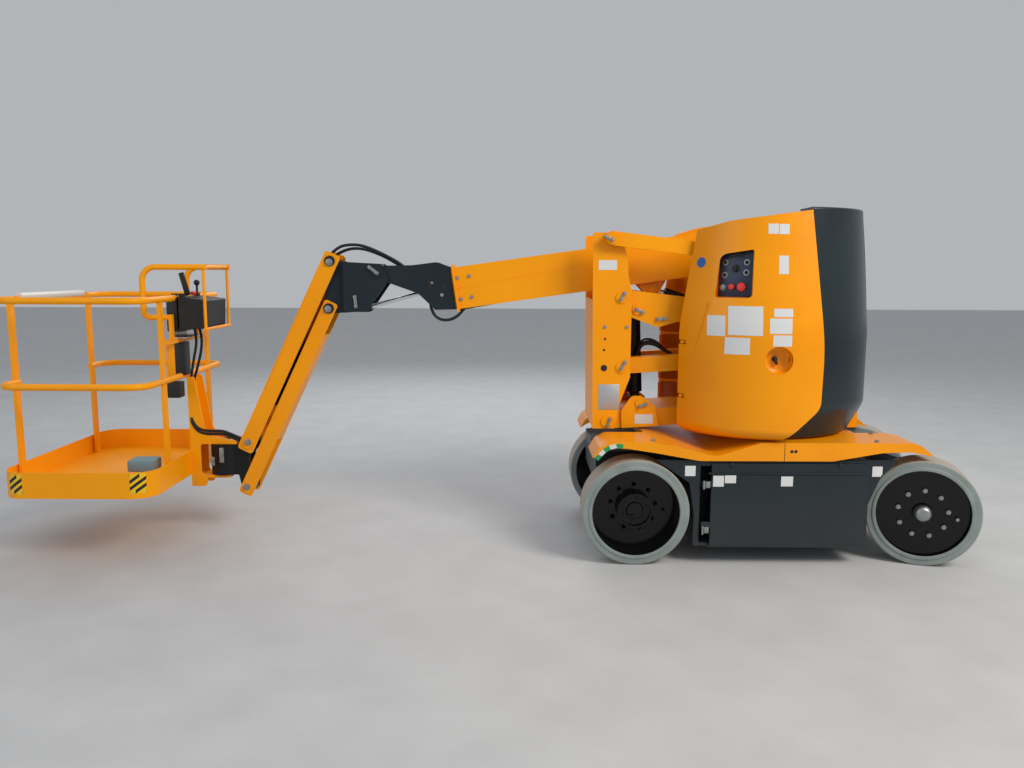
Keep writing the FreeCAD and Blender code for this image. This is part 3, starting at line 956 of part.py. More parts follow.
guard = newBody("console_guard", "basketRight", "0", "0")
guardStart = f"-({railIn}) - postDeep/2 - seatGap"
for sign, back in (("-1", "guardBack"), ("1", "guardBack - 105")):
    pipe(guard, "XZ", [
        (guardStart, "guardLowZ"), (f"-({back})", "guardLowZ", "40"),
        (f"-({back})", "guardTop", "80"), ("guardOut", "guardTop")], f"-{sign}*guardHalf", "YZ",
        (f"{sign}*guardHalf", "guardLowZ"), guardStart, "guardR")
    disc(guard, "XY", [("guardOut - 16", f"{sign}*guardHalf", "guardBarR")],
         "consoleLow", "guardTop")
for height in ("consoleLow", "guardTop"):
    disc(guard, "XZ", [("guardOut - 16", height, "guardBarR + 1")], "-guardHalf - 13",
         "guardHalf + 13")

doc.recompute()

failed = [item.Name for item in doc.Objects if {"Invalid", "Error"} & set(item.State)]
if failed:
    raise RuntimeError(f"these failed: {failed}")
for feature in cuts:
    before = feature.BaseFeature.Shape.Volume
    if not feature.Shape.Volume < before - 1:
        raise RuntimeError(f"{feature.Name} cuts nothing")

os.makedirs("parts", exist_ok=True)
for body in subParts:
    shape = body.Shape
    if shape.isNull() or not shape.isValid():
        raise RuntimeError(f"{body.Label} has no valid shape")
    shape.exportStep(f"parts/{body.Label}.step")
print(len(subParts), "sub-parts written")
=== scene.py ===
import bpy
import bmesh
import json
import math
from mathutils import Matrix, Vector

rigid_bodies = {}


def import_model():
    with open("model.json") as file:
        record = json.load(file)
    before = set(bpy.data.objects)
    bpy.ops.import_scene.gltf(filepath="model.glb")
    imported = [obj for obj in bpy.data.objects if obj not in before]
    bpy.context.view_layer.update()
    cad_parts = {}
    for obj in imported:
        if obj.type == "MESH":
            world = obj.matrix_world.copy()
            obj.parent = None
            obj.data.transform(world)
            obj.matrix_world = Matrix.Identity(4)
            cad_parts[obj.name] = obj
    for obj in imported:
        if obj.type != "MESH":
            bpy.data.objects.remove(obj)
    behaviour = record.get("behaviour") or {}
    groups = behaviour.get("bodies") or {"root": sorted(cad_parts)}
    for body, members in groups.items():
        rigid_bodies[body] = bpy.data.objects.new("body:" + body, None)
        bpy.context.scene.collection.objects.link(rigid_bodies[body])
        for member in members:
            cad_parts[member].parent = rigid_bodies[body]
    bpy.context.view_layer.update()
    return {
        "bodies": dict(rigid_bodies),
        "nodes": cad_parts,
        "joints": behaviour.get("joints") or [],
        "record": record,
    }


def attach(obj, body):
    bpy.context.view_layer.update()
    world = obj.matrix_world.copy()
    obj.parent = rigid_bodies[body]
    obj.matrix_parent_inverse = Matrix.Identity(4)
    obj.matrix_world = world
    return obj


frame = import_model()
scene = bpy.context.scene
nodes = frame["nodes"]
print("frame loaded:", len(nodes), "nodes")

slewX = 1.60503  # the slew axis stands this far along X; photo places are read from it


def toLinear(hexText):
    parts = [int(hexText[i:i + 2], 16) / 255 for i in (1, 3, 5)]
    return [c / 12.92 if c <= 0.04045 else ((c + 0.055) / 1.055) ** 2.4 for c in parts] + [1.0]


# camera at the photographer's place, image 1024 x 768
camera = {
    "place": (slewX - 1.5054, -5.1164, 1.650), "yaw": -0.0033, "pitch": 0.1372, "roll": 0.0032,
    "focalPixels": 833.75, "imageWide": 1024,
}


def addCamera():
    data = bpy.data.cameras.new("photoCamera")
    data.sensor_width = 36
    data.lens = camera["focalPixels"] / camera["imageWide"] * data.sensor_width
    data.clip_end = 200
    item = bpy.data.objects.new("photoCamera", data)
    yaw, pitch, roll = camera["yaw"], camera["pitch"], camera["roll"]
    level = math.cos(pitch)
    ahead = Vector((math.sin(yaw) * level, math.cos(yaw) * level, -math.sin(pitch)))
    flat = Vector((math.cos(yaw), -math.sin(yaw), 0))
    above = flat.cross(ahead)
    right = flat * math.cos(roll) + above * math.sin(roll)
    up = above * math.cos(roll) - flat * math.sin(roll)
    turn = Matrix((right, up, -ahead)).transposed().to_4x4()
    item.matrix_world = Matrix.Translation(camera["place"]) @ turn
    scene.collection.objects.link(item)
    scene.camera = item


addCamera()
scene.view_settings.view_transform = "Standard"

# soft studio light: one large key above the camera, a cool fill, a rim from behind
lamps = {
    "key": {"place": (5.6, -5.0, 6.2),
        "aim": (0.4, 0, 0.9), "wide": 3.2, "watts": 500, "tint": "#fff6ea"},
    "fill": {"place": (-6.0, -5.0, 3.4),
        "aim": (-0.6, 0, 0.9), "wide": 4.5, "watts": 70, "tint": "#e9f1ff"},
    "rim": {"place": (-0.6, 6.0, 5.4),
        "aim": (0, 0, 1.0), "wide": 5.0, "watts": 170, "tint": "#ffffff"},
}
for name, lamp in lamps.items():
    data = bpy.data.lights.new(name, "AREA")
    data.size = lamp["wide"]
    data.energy = lamp["watts"]
    data.color = toLinear(lamp["tint"])[:3]
    item = bpy.data.objects.new(name, data)
    item.location = lamp["place"]
    aim = Vector(lamp["aim"]) - item.location
    item.rotation_euler = aim.to_track_quat("-Z", "Y").to_euler()
    scene.collection.objects.link(item)
world = bpy.data.worlds.new("studio")
world.use_nodes = True
world.node_tree.nodes["Background"].inputs["Color"].default_value = toLinear("#e8ecf0")
world.node_tree.nodes["Background"].inputs["Strength"].default_value = 0.55
scene.world = world


def addNode(tree, kind, inputs=None, **settings):
    node = tree.nodes.new(kind)
    for name, setting in settings.items():
        setattr(node, name, setting)
    for name, source in (inputs or {}).items():
        if isinstance(source, bpy.types.NodeSocket):
            tree.links.new(source, node.inputs[name])
        else:
            node.inputs[name].default_value = source
    return node


def newMaterial(name):
    material = bpy.data.materials.new(name)
    material.use_nodes = True
    tree = material.node_tree
    shader = tree.nodes["Principled BSDF"]
    place = addNode(tree, "ShaderNodeTexCoord").outputs["Object"]
    return material, tree, shader, place


def setShader(tree, shader, **inputs):
    for name, source in inputs.items():
        socket = shader.inputs[name.replace("_", " ")]
        if isinstance(source, bpy.types.NodeSocket):
            tree.links.new(source, socket)
        else:
            socket.default_value = source


def rampOf(tree, source, stops):
    ramp = addNode(tree, "ShaderNodeValToRGB", {"Fac": source})
    while len(ramp.color_ramp.elements) < len(stops):
        ramp.color_ramp.elements.new(0.5)
    for element, (where, color) in zip(ramp.color_ramp.elements, stops):
        element.position = where
        element.color = toLinear(color)
    return ramp.outputs["Color"]


# powder coat or enamel over steel, or a gel coat over moulded shells: base colour, a darker cast
# in broad patches, a fine orange-peel bump and a light film of road dust low down
paints = {
    "orangePowderCoat": {"base": "#fca300", "deep": "#f69b00",
        "rough": 0.42, "coat": 0.05, "peel": 0.012, "dust": 0.04},
    "orangeGelCoat": {"base": "#f99e00", "deep": "#f29600",
        "rough": 0.32, "coat": 0.16, "peel": 0.004, "dust": 0.04},
    "yellowPowderCoat": {"base": "#ffa700", "deep": "#f99f00",
        "rough": 0.42, "coat": 0.05, "peel": 0.012, "dust": 0.0},
    "darkGreyPowderCoat": {"base": "#1f2a31", "deep": "#1a242a",
        "rough": 0.45, "coat": 0.06, "peel": 0.012, "dust": 0.08},
    "darkGreyGelCoat": {"base": "#222e35", "deep": "#1d282e",
        "rough": 0.32, "coat": 0.2, "peel": 0.004, "dust": 0.08},
    "blackGlossEnamel": {"base": "#030404", "deep": "#050607",
        "rough": 0.18, "coat": 0.2, "peel": 0.004, "dust": 0.01},
    "blackSatinEnamel": {"base": "#0c0e10", "deep": "#121416",
        "rough": 0.4, "coat": 0.05, "peel": 0.01, "dust": 0.03},
}
materials = {}
for name, paint in paints.items():
    material, tree, shader, place = newMaterial(name)
    patches = addNode(tree, "ShaderNodeTexNoise", {"Vector": place, "Scale": 2.3, "Detail": 3.0})
    peel = addNode(tree, "ShaderNodeTexNoise", {"Vector": place, "Scale": 420.0, "Detail": 1.0})
    height = addNode(tree, "ShaderNodeSeparateXYZ", {"Vector": place}).outputs["Z"]
    dust = addNode(tree, "ShaderNodeMapRange", {
        "Value": height, "From Min": 0.05, "From Max": 0.75,
        "To Min": paint["dust"], "To Max": 0.0})
    color = rampOf(tree, patches.outputs["Fac"], [(0.35, paint["deep"]), (0.62, paint["base"])])
    dusty = addNode(tree, "ShaderNodeMix", {
        "Factor": dust.outputs["Result"], "A": color, "B": toLinear("#8f8a80")}, data_type="RGBA")
    bump = addNode(tree, "ShaderNodeBump", {
        "Height": peel.outputs["Fac"], "Strength": paint["peel"] * 8, "Distance": 0.0006})
    setShader(tree, shader, Base_Color=dusty.outputs["Result"], Roughness=paint["rough"],
              Coat_Weight=paint["coat"], Coat_Roughness=0.12, Specular_IOR_Level=0.22,
              Normal=bump.outputs["Normal"])
    materials[name] = material
print("paints:", len(paints))

# bright parts: zinc plate is dull and mottled, chrome rod is mirror smooth, ball race is ground
metals = {
    "zincPlatedSteel": {"base": "#a3a7a4", "rough": 0.42, "grain": 60.0},
    "hardChromeRod": {"base": "#dfe2e4", "rough": 0.12, "grain": 20.0},
    "groundSteelRing": {"base": "#8e9294", "rough": 0.42, "grain": 90.0},
    "aluminiumPlate": {"base": "#c6cacc", "rough": 0.45, "grain": 140.0},
}
for name, metal in metals.items():
    material, tree, shader, place = newMaterial(name)
    grain = addNode(tree, "ShaderNodeTexNoise", {
        "Vector": place, "Scale": metal["grain"], "Detail": 4.0})
    rough = addNode(tree, "ShaderNodeMapRange", {
        "Value": grain.outputs["Fac"], "To Min": metal["rough"] - 0.08,
        "To Max": metal["rough"] + 0.12})
    bump = addNode(tree, "ShaderNodeBump", {
        "Height": grain.outputs["Fac"], "Strength": 0.05, "Distance": 0.0005})
    setShader(tree, shader, Base_Color=toLinear(metal["base"]), Metallic=1.0,
              Roughness=rough.outputs["Result"], Normal=bump.outputs["Normal"])
    materials[name] = material

# moulded plastics, hoses and labels: matt, faintly grained
plastics = {
    "mouldedBlackPlastic": {"base": "#17191b", "rough": 0.5, "grain": 500.0, "bump": 0.08},
    "rubberHose": {"base": "#101112", "rough": 0.55, "grain": 300.0, "bump": 0.1},
    "redPlastic": {"base": "#e0311f", "rough": 0.3, "grain": 400.0, "bump": 0.02},
    "batteryCase": {"base": "#23272b", "rough": 0.55, "grain": 300.0, "bump": 0.1},
    "whiteVinyl": {"base": "#d9dcdc", "rough": 0.4, "grain": 200.0, "bump": 0.01},
    "blueVinyl": {"base": "#1d62ad", "rough": 0.35, "grain": 200.0, "bump": 0.01},
    "panelFoil": {"base": "#26364f", "rough": 0.35, "grain": 200.0, "bump": 0.01},
    "stripeGreen": {"base": "#1f9a57", "rough": 0.3, "grain": 700.0, "bump": 0.05},
    "hazardYellow": {"base": "#f3c300", "rough": 0.4, "grain": 200.0, "bump": 0.01},
    "hazardBlack": {"base": "#141414", "rough": 0.4, "grain": 200.0, "bump": 0.01},
    "pedalGrey": {"base": "#6f8f9a", "rough": 0.5, "grain": 200.0, "bump": 0.05},
    "clearFilm": {"base": "#d9d6d2", "rough": 0.3, "grain": 40.0, "bump": 0.5},
}
for name, plastic in plastics.items():
    material, tree, shader, place = newMaterial(name)
    grain = addNode(tree, "ShaderNodeTexNoise", {
        "Vector": place, "Scale": plastic["grain"], "Detail": 2.0})
    bump = addNode(tree, "ShaderNodeBump", {
        "Height": grain.outputs["Fac"], "Strength": plastic["bump"], "Distance": 0.001})
    setShader(tree, shader, Base_Color=toLinear(plastic["base"]), Roughness=plastic["rough"],
              Normal=bump.outputs["Normal"])
    materials[name] = material

# non-marking tyre: pale grey rubber, dull and dusty, the tread browned by the ground
tyre = {"side": "#8d9896", "worn": "#7f8a88", "tread": "#a49c90", "treadR": 0.2965, "edge": 0.002}


def addTyreMaterial(name, centre, turn):
    material, tree, shader, place = newMaterial(name)
    local = addNode(tree, "ShaderNodeVectorMath", {0: place, 1: centre}, operation="SUBTRACT")
    flat = addNode(tree, "ShaderNodeVectorRotate", {
        "Vector": local.outputs["Vector"], "Angle": -turn}, rotation_type="Z_AXIS")
    spread = addNode(tree, "ShaderNodeVectorMath", {
        0: flat.outputs["Vector"], 1: (1, 0, 1)}, operation="MULTIPLY")
    radius = addNode(tree, "ShaderNodeVectorMath", {0: spread.outputs["Vector"]},
                     operation="LENGTH")
    onTread = addNode(tree, "ShaderNodeMapRange", {
        "Value": radius.outputs["Value"], "From Min": tyre["treadR"] - tyre["edge"],
        "From Max": tyre["treadR"] + tyre["edge"]})
    smear = addNode(tree, "ShaderNodeTexNoise", {"Vector": place, "Scale": 9.0, "Detail": 6.0})
    side = rampOf(tree, smear.outputs["Fac"], [(0.35, tyre["worn"]), (0.65, tyre["side"])])
    color = addNode(tree, "ShaderNodeMix", {
        "Factor": onTread.outputs["Result"], "A": side, "B": toLinear(tyre["tread"])},
        data_type="RGBA")
    fine = addNode(tree, "ShaderNodeTexNoise", {"Vector": place, "Scale": 240.0, "Detail": 3.0})
    bump = addNode(tree, "ShaderNodeBump", {
        "Height": fine.outputs["Fac"], "Strength": 0.25, "Distance": 0.001})
    setShader(tree, shader, Base_Color=color.outputs["Result"], Roughness=0.75,
              Normal=bump.outputs["Normal"])
    return material


def paintNode(name, material):
    item = nodes[name]
    item.data.materials.clear()
    item.data.materials.append(material)


steerRest = math.radians(-18)
axle = {"x": 0.825, "y": 0.45, "z": 0.3}
wheels = {}
for end, way in (("rear", -1), ("front", 1)):
    for side, sign in (("near", -1), ("far", 1)):
        wheels[end + "_" + side] = {
            "centre": (slewX + way * axle["x"], sign * axle["y"], axle["z"]),
            "turn": steerRest if end == "front" else 0, "side": sign, "front": end == "front"}
for name, wheel in wheels.items():
    rubber = "greyRubber_" + name
    materials[rubber] = addTyreMaterial(rubber, wheel["centre"], wheel["turn"])
    paintNode("tyre_" + name, materials[rubber])

dressing = {
    "orangePowderCoat": [
        "lower_arm", "lower_link", "mid_post", "upper_arm", "upper_link", "top_post", "boom_outer",
        "jib_upper", "jib_lower", "turntable_frame", "boom_inner", "tower_pins", "mid_post_pins",
        "top_post_pins", "jib_foot_pins"],
    "orangeGelCoat": ["chassis_cover", "hood_near", "hood_far"],
    "yellowPowderCoat": [
        "basket_floor", "basket_rails", "basket_support", "console_guard", "gate_bar"],
    "darkGreyPowderCoat": [
        "chassis_frame", "side_door_near", "side_door_far", "boom_head", "jib_bracket",
        "front_axle", "rear_axle", "knuckle_near", "knuckle_far", "jib_bracket_pins"],
    "darkGreyGelCoat": ["counterweight", "rear_cover"],
    "blackGlossEnamel": ["rim_rear_near", "rim_rear_far", "rim_front_near", "rim_front_far"],
    "blackSatinEnamel": [
        "jib_foot", "power_unit", "arm_cylinder_barrel", "boom_cylinder_barrel", "level_barrel",
        "jib_cylinder_barrel"],
    "hardChromeRod": ["arm_cylinder_rod", "boom_cylinder_rod", "level_rod", "jib_cylinder_rod"],
    "groundSteelRing": ["slew_ring"],
    "mouldedBlackPlastic": ["control_box"],
    "batteryCase": ["battery_near", "battery_far"],
}
for finish, names in dressing.items():
    for name in names:
        paintNode(name, materials[finish])
print("frame dressed")

# small shapes: each stands on the XY plane of its own frame and rises along its Z


def at(x, y, z):
    return Vector((slewX + x, y, z))


def facing(place, normal, up=(0, 0, 1)):
    ahead = Vector(normal).normalized()
    side = Vector(up).cross(ahead).normalized()
    turn = Matrix((side, ahead.cross(side), ahead)).transposed()
    return Matrix.Translation(place) @ turn.to_4x4()


def roundEdges(shape, edges, size, steps=2):
    bmesh.ops.bevel(shape, geom=edges, offset=size, segments=steps, profile=0.5, affect="EDGES",
                    material=-1)


def addRound(shape, frame, radius, deep, sides=24, topRadius=None, soft=0.0):
    made = bmesh.ops.create_cone(
        shape, cap_ends=True, segments=sides, radius1=radius,
        radius2=radius if topRadius is None else topRadius, depth=deep,
        matrix=frame @ Matrix.Translation((0, 0, deep / 2)))
    if soft:
        back = frame.inverted()
        edges = {edge for vert in made["verts"] for edge in vert.link_edges}
        roundEdges(shape, [edge for edge in edges if all(
            (back @ vert.co).z > deep * 0.99 for vert in edge.verts)], soft)
    return made["verts"]


def addBlock(shape, frame, size, soft=0.0):
    made = bmesh.ops.create_cube(shape, size=1, matrix=frame @ Matrix.Translation(
        (0, 0, size[2] / 2)) @ Matrix.Diagonal((*size, 1)))
    if soft:
        roundEdges(shape, list({edge for vert in made["verts"] for edge in vert.link_edges}), soft)


def addBolt(shape, frame, size):
    addRound(shape, frame, size * 1.15, size * 0.18, 20)
    addRound(shape, frame @ Matrix.Translation((0, 0, size * 0.18)), size * 0.95, size * 0.65, 6,
             soft=size * 0.07)


def finishPiece(name, shape, finish, body, sharp=32):
    bmesh.ops.recalc_face_normals(shape, faces=shape.faces)
    mesh = bpy.data.meshes.new(name)
    shape.to_mesh(mesh)
    shape.free()
    mesh.materials.append(materials[finish])
    mesh.polygons.foreach_set("use_smooth", [True] * len(mesh.polygons))
    mesh.set_sharp_from_angle(angle=math.radians(sharp))
    item = bpy.data.objects.new(name, mesh)
    scene.collection.objects.link(item)
    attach(item, body)
    return item


def addHose(name, points, radius, body, finish="rubberHose"):
    curve = bpy.data.curves.new(name, "CURVE")
    curve.dimensions = "3D"
    curve.bevel_depth = radius
    curve.bevel_resolution = 4
    curve.resolution_u = 10
    curve.use_fill_caps = True
    line = curve.splines.new("NURBS")
    line.points.add(len(points) - 1)
    for point, place in zip(line.points, points):
        point.co = (*at(*place), 1)
    line.order_u = 3
    line.use_endpoint_u = True
    curve.materials.append(materials[finish])
    item = bpy.data.objects.new(name, curve)
    scene.collection.objects.link(item)
    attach(item, body)
    return item


# a thin sheet laid on a node's skin, its points dropped onto it along the sheet's own depth
def addSkin(shape, node, frame, wide, high, thick, steps=(8, 8), reach=0.6):
    made = bmesh.ops.create_grid(shape, x_segments=steps[0], y_segments=steps[1], size=0.5,
                                 matrix=frame @ Matrix.Diagonal((wide, high, 1, 1)))
    inward = -(frame.to_3x3() @ Vector((0, 0, 1)))
    faces = list({face for vert in made["verts"] for face in vert.link_faces})
    for vert in made["verts"]:
        found, place, normal, index = nodes[node].ray_cast(vert.co - inward * reach, inward)
        if found:
            vert.co = place - inward * 0.0002
    raised = bmesh.ops.extrude_face_region(shape, geom=faces)
    bmesh.ops.translate(shape, vec=-inward * thick, verts=[
        item for item in raised["geom"] if isinstance(item, bmesh.types.BMVert)])


sides = {"near": -1, "far": 1}

# wheels: bolts, the tyre's bead over the rim edge, hubs in the rear, caps in front
wheelTrim = {
    "bolts": 9, "ringR": 0.130, "boltSize": 0.0115, "rearWeb": 0.074, "frontWeb": 0.136,
    "beadR": (0.245, 0.262), "hubR": 0.099, "hubWall": 0.011, "hubDeep": 0.034, "capR": 0.046,
    "capDeep": 0.028, "plugR": 0.010,
}
for name, wheel in wheels.items():
    web = wheelTrim["frontWeb"] if wheel["front"] else wheelTrim["rearWeb"]
    face = Matrix.Translation(wheel["centre"]) @ Matrix.Rotation(wheel["turn"], 4, "Z") @ facing(
        (0, wheel["side"] * (web + 0.0005), 0), (0, wheel["side"], 0))
    body = ("front_wheel_" if wheel["front"] else "rear_wheel_") + name.split("_")[1]
    bolts = bmesh.new()
    for turn in range(wheelTrim["bolts"]):
        angle = math.radians(8 + 360 / wheelTrim["bolts"] * turn)
        addBolt(bolts, face @ Matrix.Translation((
            wheelTrim["ringR"] * math.cos(angle), wheelTrim["ringR"] * math.sin(angle), 0)),
            wheelTrim["boltSize"])
    addRound(bolts, face @ Matrix.Translation((0.176, -0.019, 0)), wheelTrim["plugR"], 0.008, 16,
             soft=0.002)
    finishPiece("wheel_bolts_" + name, bolts, "zincPlatedSteel" if wheel["front"] else
                "blackSatinEnamel", body)
    back = face.inverted()
    inner, outer = wheelTrim["beadR"]
    rim = nodes["rim_" + name].data
    rimTop = max(place.z for place in (back @ vert.co for vert in rim.vertices)
                 if Vector((place.x, place.y)).length > inner)
    bead = bmesh.new()
    ring = [bead.verts.new(face @ Vector((radius, 0, rimTop + proud))) for radius, proud in (
        (inner, -0.004), (inner, 0.002), (inner + 0.003, 0.005), (outer, 0.005),
        (outer + 0.004, 0.001), (outer + 0.004, -0.004))]
    edges = [bead.edges.new(pair) for pair in zip(ring, ring[1:] + ring[:1])]
    bmesh.ops.spin(bead, geom=ring + edges, cent=face.translation, steps=72,
                   axis=face.to_3x3() @ Vector((0, 0, 1)), angle=math.tau, use_merge=True)
    finishPiece("tyre_bead_" + name, bead, "greyRubber_" + name, body)
    hub = bmesh.new()
    if wheel["front"]:
        addRound(hub, face, wheelTrim["capR"] + 0.008, 0.008, 40, soft=0.003)
        cap = bmesh.new()
        addRound(cap, face @ Matrix.Translation((0, 0, 0.008)), wheelTrim["capR"],
                 wheelTrim["capDeep"], 40, topRadius=wheelTrim["capR"] * 0.86, soft=0.016)
        finishPiece("hub_cap_" + name, cap, "zincPlatedSteel", body, 50)
    else:
        ring = [face @ Vector((radius, 0, height)) for radius, height in (
            (wheelTrim["hubR"], 0), (wheelTrim["hubR"], wheelTrim["hubDeep"]),
            (wheelTrim["hubR"] - wheelTrim["hubWall"], wheelTrim["hubDeep"]),
            (wheelTrim["hubR"] - wheelTrim["hubWall"], 0.016), (0.05, 0.016), (0.044, 0.024),
            (0.0001, 0.024))]
        edges = []
        verts = [hub.verts.new(place) for place in ring]
        for first, second in zip(verts, verts[1:]):
            edges.append(hub.edges.new((first, second)))
        bmesh.ops.spin(hub, geom=verts + edges, cent=face.translation, steps=48,
                       axis=face.to_3x3() @ Vector((0, 0, 1)), angle=math.tau, use_merge=True)
        bmesh.ops.remove_doubles(hub, verts=hub.verts, dist=0.0004)
        for turn in range(6):
            angle = math.radians(20 + 60 * turn)
            addBolt(hub, face @ Matrix.Translation((
                0.068 * math.cos(angle), 0.068 * math.sin(angle), 0.016)), 0.008)
        addBlock(hub, face @ Matrix.Translation((-0.02, -0.03, 0.024)), (0.034, 0.014, 0.01), 0.003)
    finishPiece("hub_" + name, hub, "blackGlossEnamel", body)
print("wheels trimmed")

# chassis cover: seam, twin holes as black discs (painted shade of the holes), bolts, and the green
# and white band on the rear fender's edge
coverTrim = {
    "seamX": -0.012, "twinX": 0.038, "twinZ": 0.655, "twinGap": 0.011, "twinR": 0.009,
    "bolts": ((0.51, -0.56, 0.7035), (-0.73, -0.545, 0.7035), (0.575, -0.33, 0.7035)),
}
stripeEdge = [(-1.063, 0.616), (-1.045, 0.640), (-1.018, 0.668), (-0.985, 0.689), (-0.945, 0.698),
              (-0.905, 0.698)]
seam = bmesh.new()
holeShades = bmesh.new()
for side, sign in sides.items():
    face = facing(at(coverTrim["seamX"], sign * 0.6, 0.652), (0, sign, 0))
    addSkin(seam, "chassis_cover", face, 0.003, 0.099, 0.0006, (1, 4))
    for gap in (-1, 1):
        place = at(coverTrim["twinX"] + gap * coverTrim["twinGap"], sign * 0.6, coverTrim["twinZ"])
        # each hole is a thin black disc: painted shade standing in for the dark hollow behind the
        # hole
        addRound(holeShades, facing(place, (0, sign, 0)), coverTrim["twinR"], 0.0012, 20)
finishPiece("cover_seams", seam, "mouldedBlackPlastic", "chassis")
finishPiece("cover_hole_shades", holeShades, "mouldedBlackPlastic", "chassis")
bolts = bmesh.new()
for x, y, z in coverTrim["bolts"]:
    for sign in (1, -1):
        addBolt(bolts, Matrix.Translation(at(x, y * sign, z)), 0.011)
finishPiece("cover_bolts", bolts, "zincPlatedSteel", "chassis")
for finish, start in (("stripeGreen", 0), ("whiteVinyl", 1)):
    band = bmesh.new()
    for side, sign in sides.items():
        for index, (low, high) in enumerate(zip(stripeEdge, stripeEdge[1:])):
            if index % 2 != start:
                continue
            along = Vector((high[0] - low[0], 0, high[1] - low[1]))
            middle = at((low[0] + high[0]) / 2, sign * 0.6, (low[1] + high[1]) / 2)
            drop = Vector((along.z, 0, -along.x)).normalized() * 0.016
            addSkin(band, "chassis_cover", facing(middle + drop, (0, sign, 0), drop),
                    along.length * 1.02, 0.024, 0.0008, (2, 2))
    finishPiece("fender_band_" + finish, band, finish, "chassis")

# side doors: lip rail, hinges, latches
doorTrim = {"skin": 0.5995, "lipZ": 0.530, "footZ": 0.112, "long": 0.86, "hingeX": -0.452,
            "hingeZ": (0.465, 0.205), "latchX": 0.30, "latchZ": 0.578}
for side, sign in sides.items():
    body = "side_door_" + side
    outward = (0, sign, 0)
    lip = bmesh.new()
    addBlock(lip, facing(at(0.0, sign * doorTrim["skin"], doorTrim["lipZ"]), outward),
             (doorTrim["long"], 0.010, 0.006), 0.002)
    addBlock(lip, facing(at(0.0, sign * doorTrim["skin"], doorTrim["footZ"]), outward),
             (doorTrim["long"], 0.010, 0.004), 0.0015)
    finishPiece("door_lip_" + side, lip, "darkGreyPowderCoat", body)
    hinges = bmesh.new()
    for height in doorTrim["hingeZ"]:
        place = at(doorTrim["hingeX"] + 0.022, sign * doorTrim["skin"], height)
        addBlock(hinges, facing(place, outward), (0.026, 0.036, 0.003), 0.001)
        addRound(hinges, Matrix.Translation(at(doorTrim["hingeX"], sign * 0.6045, height - 0.024)),
                 0.006, 0.048, 20, soft=0.0015)
    finishPiece("door_hinges_" + side, hinges, "zincPlatedSteel", body)
    latch = bmesh.new()
    for place in (-doorTrim["latchX"], doorTrim["latchX"]):
        addRound(latch, facing(at(place, sign * doorTrim["skin"], doorTrim["latchZ"]), outward),
                 0.013, 0.006, 24, soft=0.002)
    finishPiece("door_latches_" + side, latch, "mouldedBlackPlastic", body)

# blank self-adhesive labels: piece, body, node it is stuck on, centre x and z, wide, high, side
labels = [
    ("label_door_1", "side_door_near", "side_door_near", -0.372, 0.486, 0.060, 0.062, -1),
    ("label_door_2", "side_door_near", "side_door_near", -0.306, 0.497, 0.062, 0.044, -1),
    ("label_door_3", "side_door_near", "side_door_near", 0.008, 0.486, 0.066, 0.056, -1),
    ("label_frame_rear", "chassis", "chassis_frame", -0.527, 0.540, 0.058, 0.058, -1),
    ("label_frame_front", "chassis", "chassis_frame", 0.512, 0.540, 0.056, 0.058, -1),
    ("label_mast", "mid_post", "mid_post", -0.970, 1.674, 0.106, 0.056, -1),
    ("label_arm", "lower_arm", "lower_arm", -0.735, 0.765, 0.108, 0.056, -1),
    ("label_hood_top", "hood_near", "hood_near", -0.120, 1.868, 0.052, 0.054, -1),
    ("label_hood_top_2", "hood_near", "hood_near", -0.064, 1.866, 0.052, 0.054, -1),
    ("label_hood_tall", "hood_near", "hood_near", -0.066, 1.676, 0.050, 0.098, -1),
    ("label_hood_left", "hood_near", "hood_near", -0.396, 1.344, 0.085, 0.112, -1),
    ("label_hood_main", "hood_near", "hood_near", -0.255, 1.375, 0.170, 0.158, -1),
    ("label_hood_low", "hood_near", "hood_near", -0.293, 1.237, 0.122, 0.092, -1),
    ("label_hood_right_1", "hood_near", "hood_near", -0.066, 1.421, 0.098, 0.044, -1),
    ("label_hood_right_2", "hood_near", "hood_near", -0.078, 1.350, 0.116, 0.082, -1),
    ("label_hood_right_3", "hood_near", "hood_near", -0.068, 1.271, 0.098, 0.060, -1),
    ("label_hood_far", "hood_far", "hood_far", -0.255, 1.375, 0.170, 0.158, 1),
    ("label_hood_far_low", "hood_far", "hood_far", -0.293, 1.237, 0.122, 0.092, 1),
]
for name, body, node, x, z, wide, high, sign in labels:
    label = bmesh.new()
    addSkin(label, node, facing(at(x, sign * 0.9, z), (0, sign, 0)), wide, high, 0.0006, (8, 6))
    finishPiece(name, label, "whiteVinyl", body)
dot = {"place": (-0.461, -0.390, 1.689), "normal": (-0.74, -0.66, 0.13), "radius": 0.029}
sticker = bmesh.new()
addRound(sticker, facing(at(*dot["place"]), dot["normal"]), dot["radius"], 0.0012, 40)
finishPiece("round_label", sticker, "blueVinyl", "hood_near", 60)
print("labels:", len(labels) + 1)

# hood control panel in its recess: tray, foil, key switch, toggles, red buttons
panel = {"centre": (-0.305, -0.497, 1.630), "normal": (-0.53, -0.845, 0.09), "wide": 0.226,
         "high": 0.292, "sunk": 0.030}
panelFrame = facing(at(*panel["centre"]), panel["normal"])
tray = bmesh.new()
addBlock(tray, panelFrame @ Matrix.Translation((0, 0, -panel["sunk"] - 0.004)),
         (panel["wide"], panel["high"], 0.004))
for x, y, wide, high in ((-1, 0, 0.004, 1), (1, 0, 0.004, 1), (0, -1, 1, 0.004), (0, 1, 1, 0.004)):
    size = (wide if wide < 1 else panel["wide"], high if high < 1 else panel["high"], panel["sunk"])
    addBlock(tray, panelFrame @ Matrix.Translation((
        x * panel["wide"] / 2, y * panel["high"] / 2, -panel["sunk"])), size)
finishPiece("panel_tray", tray, "orangeGelCoat", "hood_near")
foil = bmesh.new()
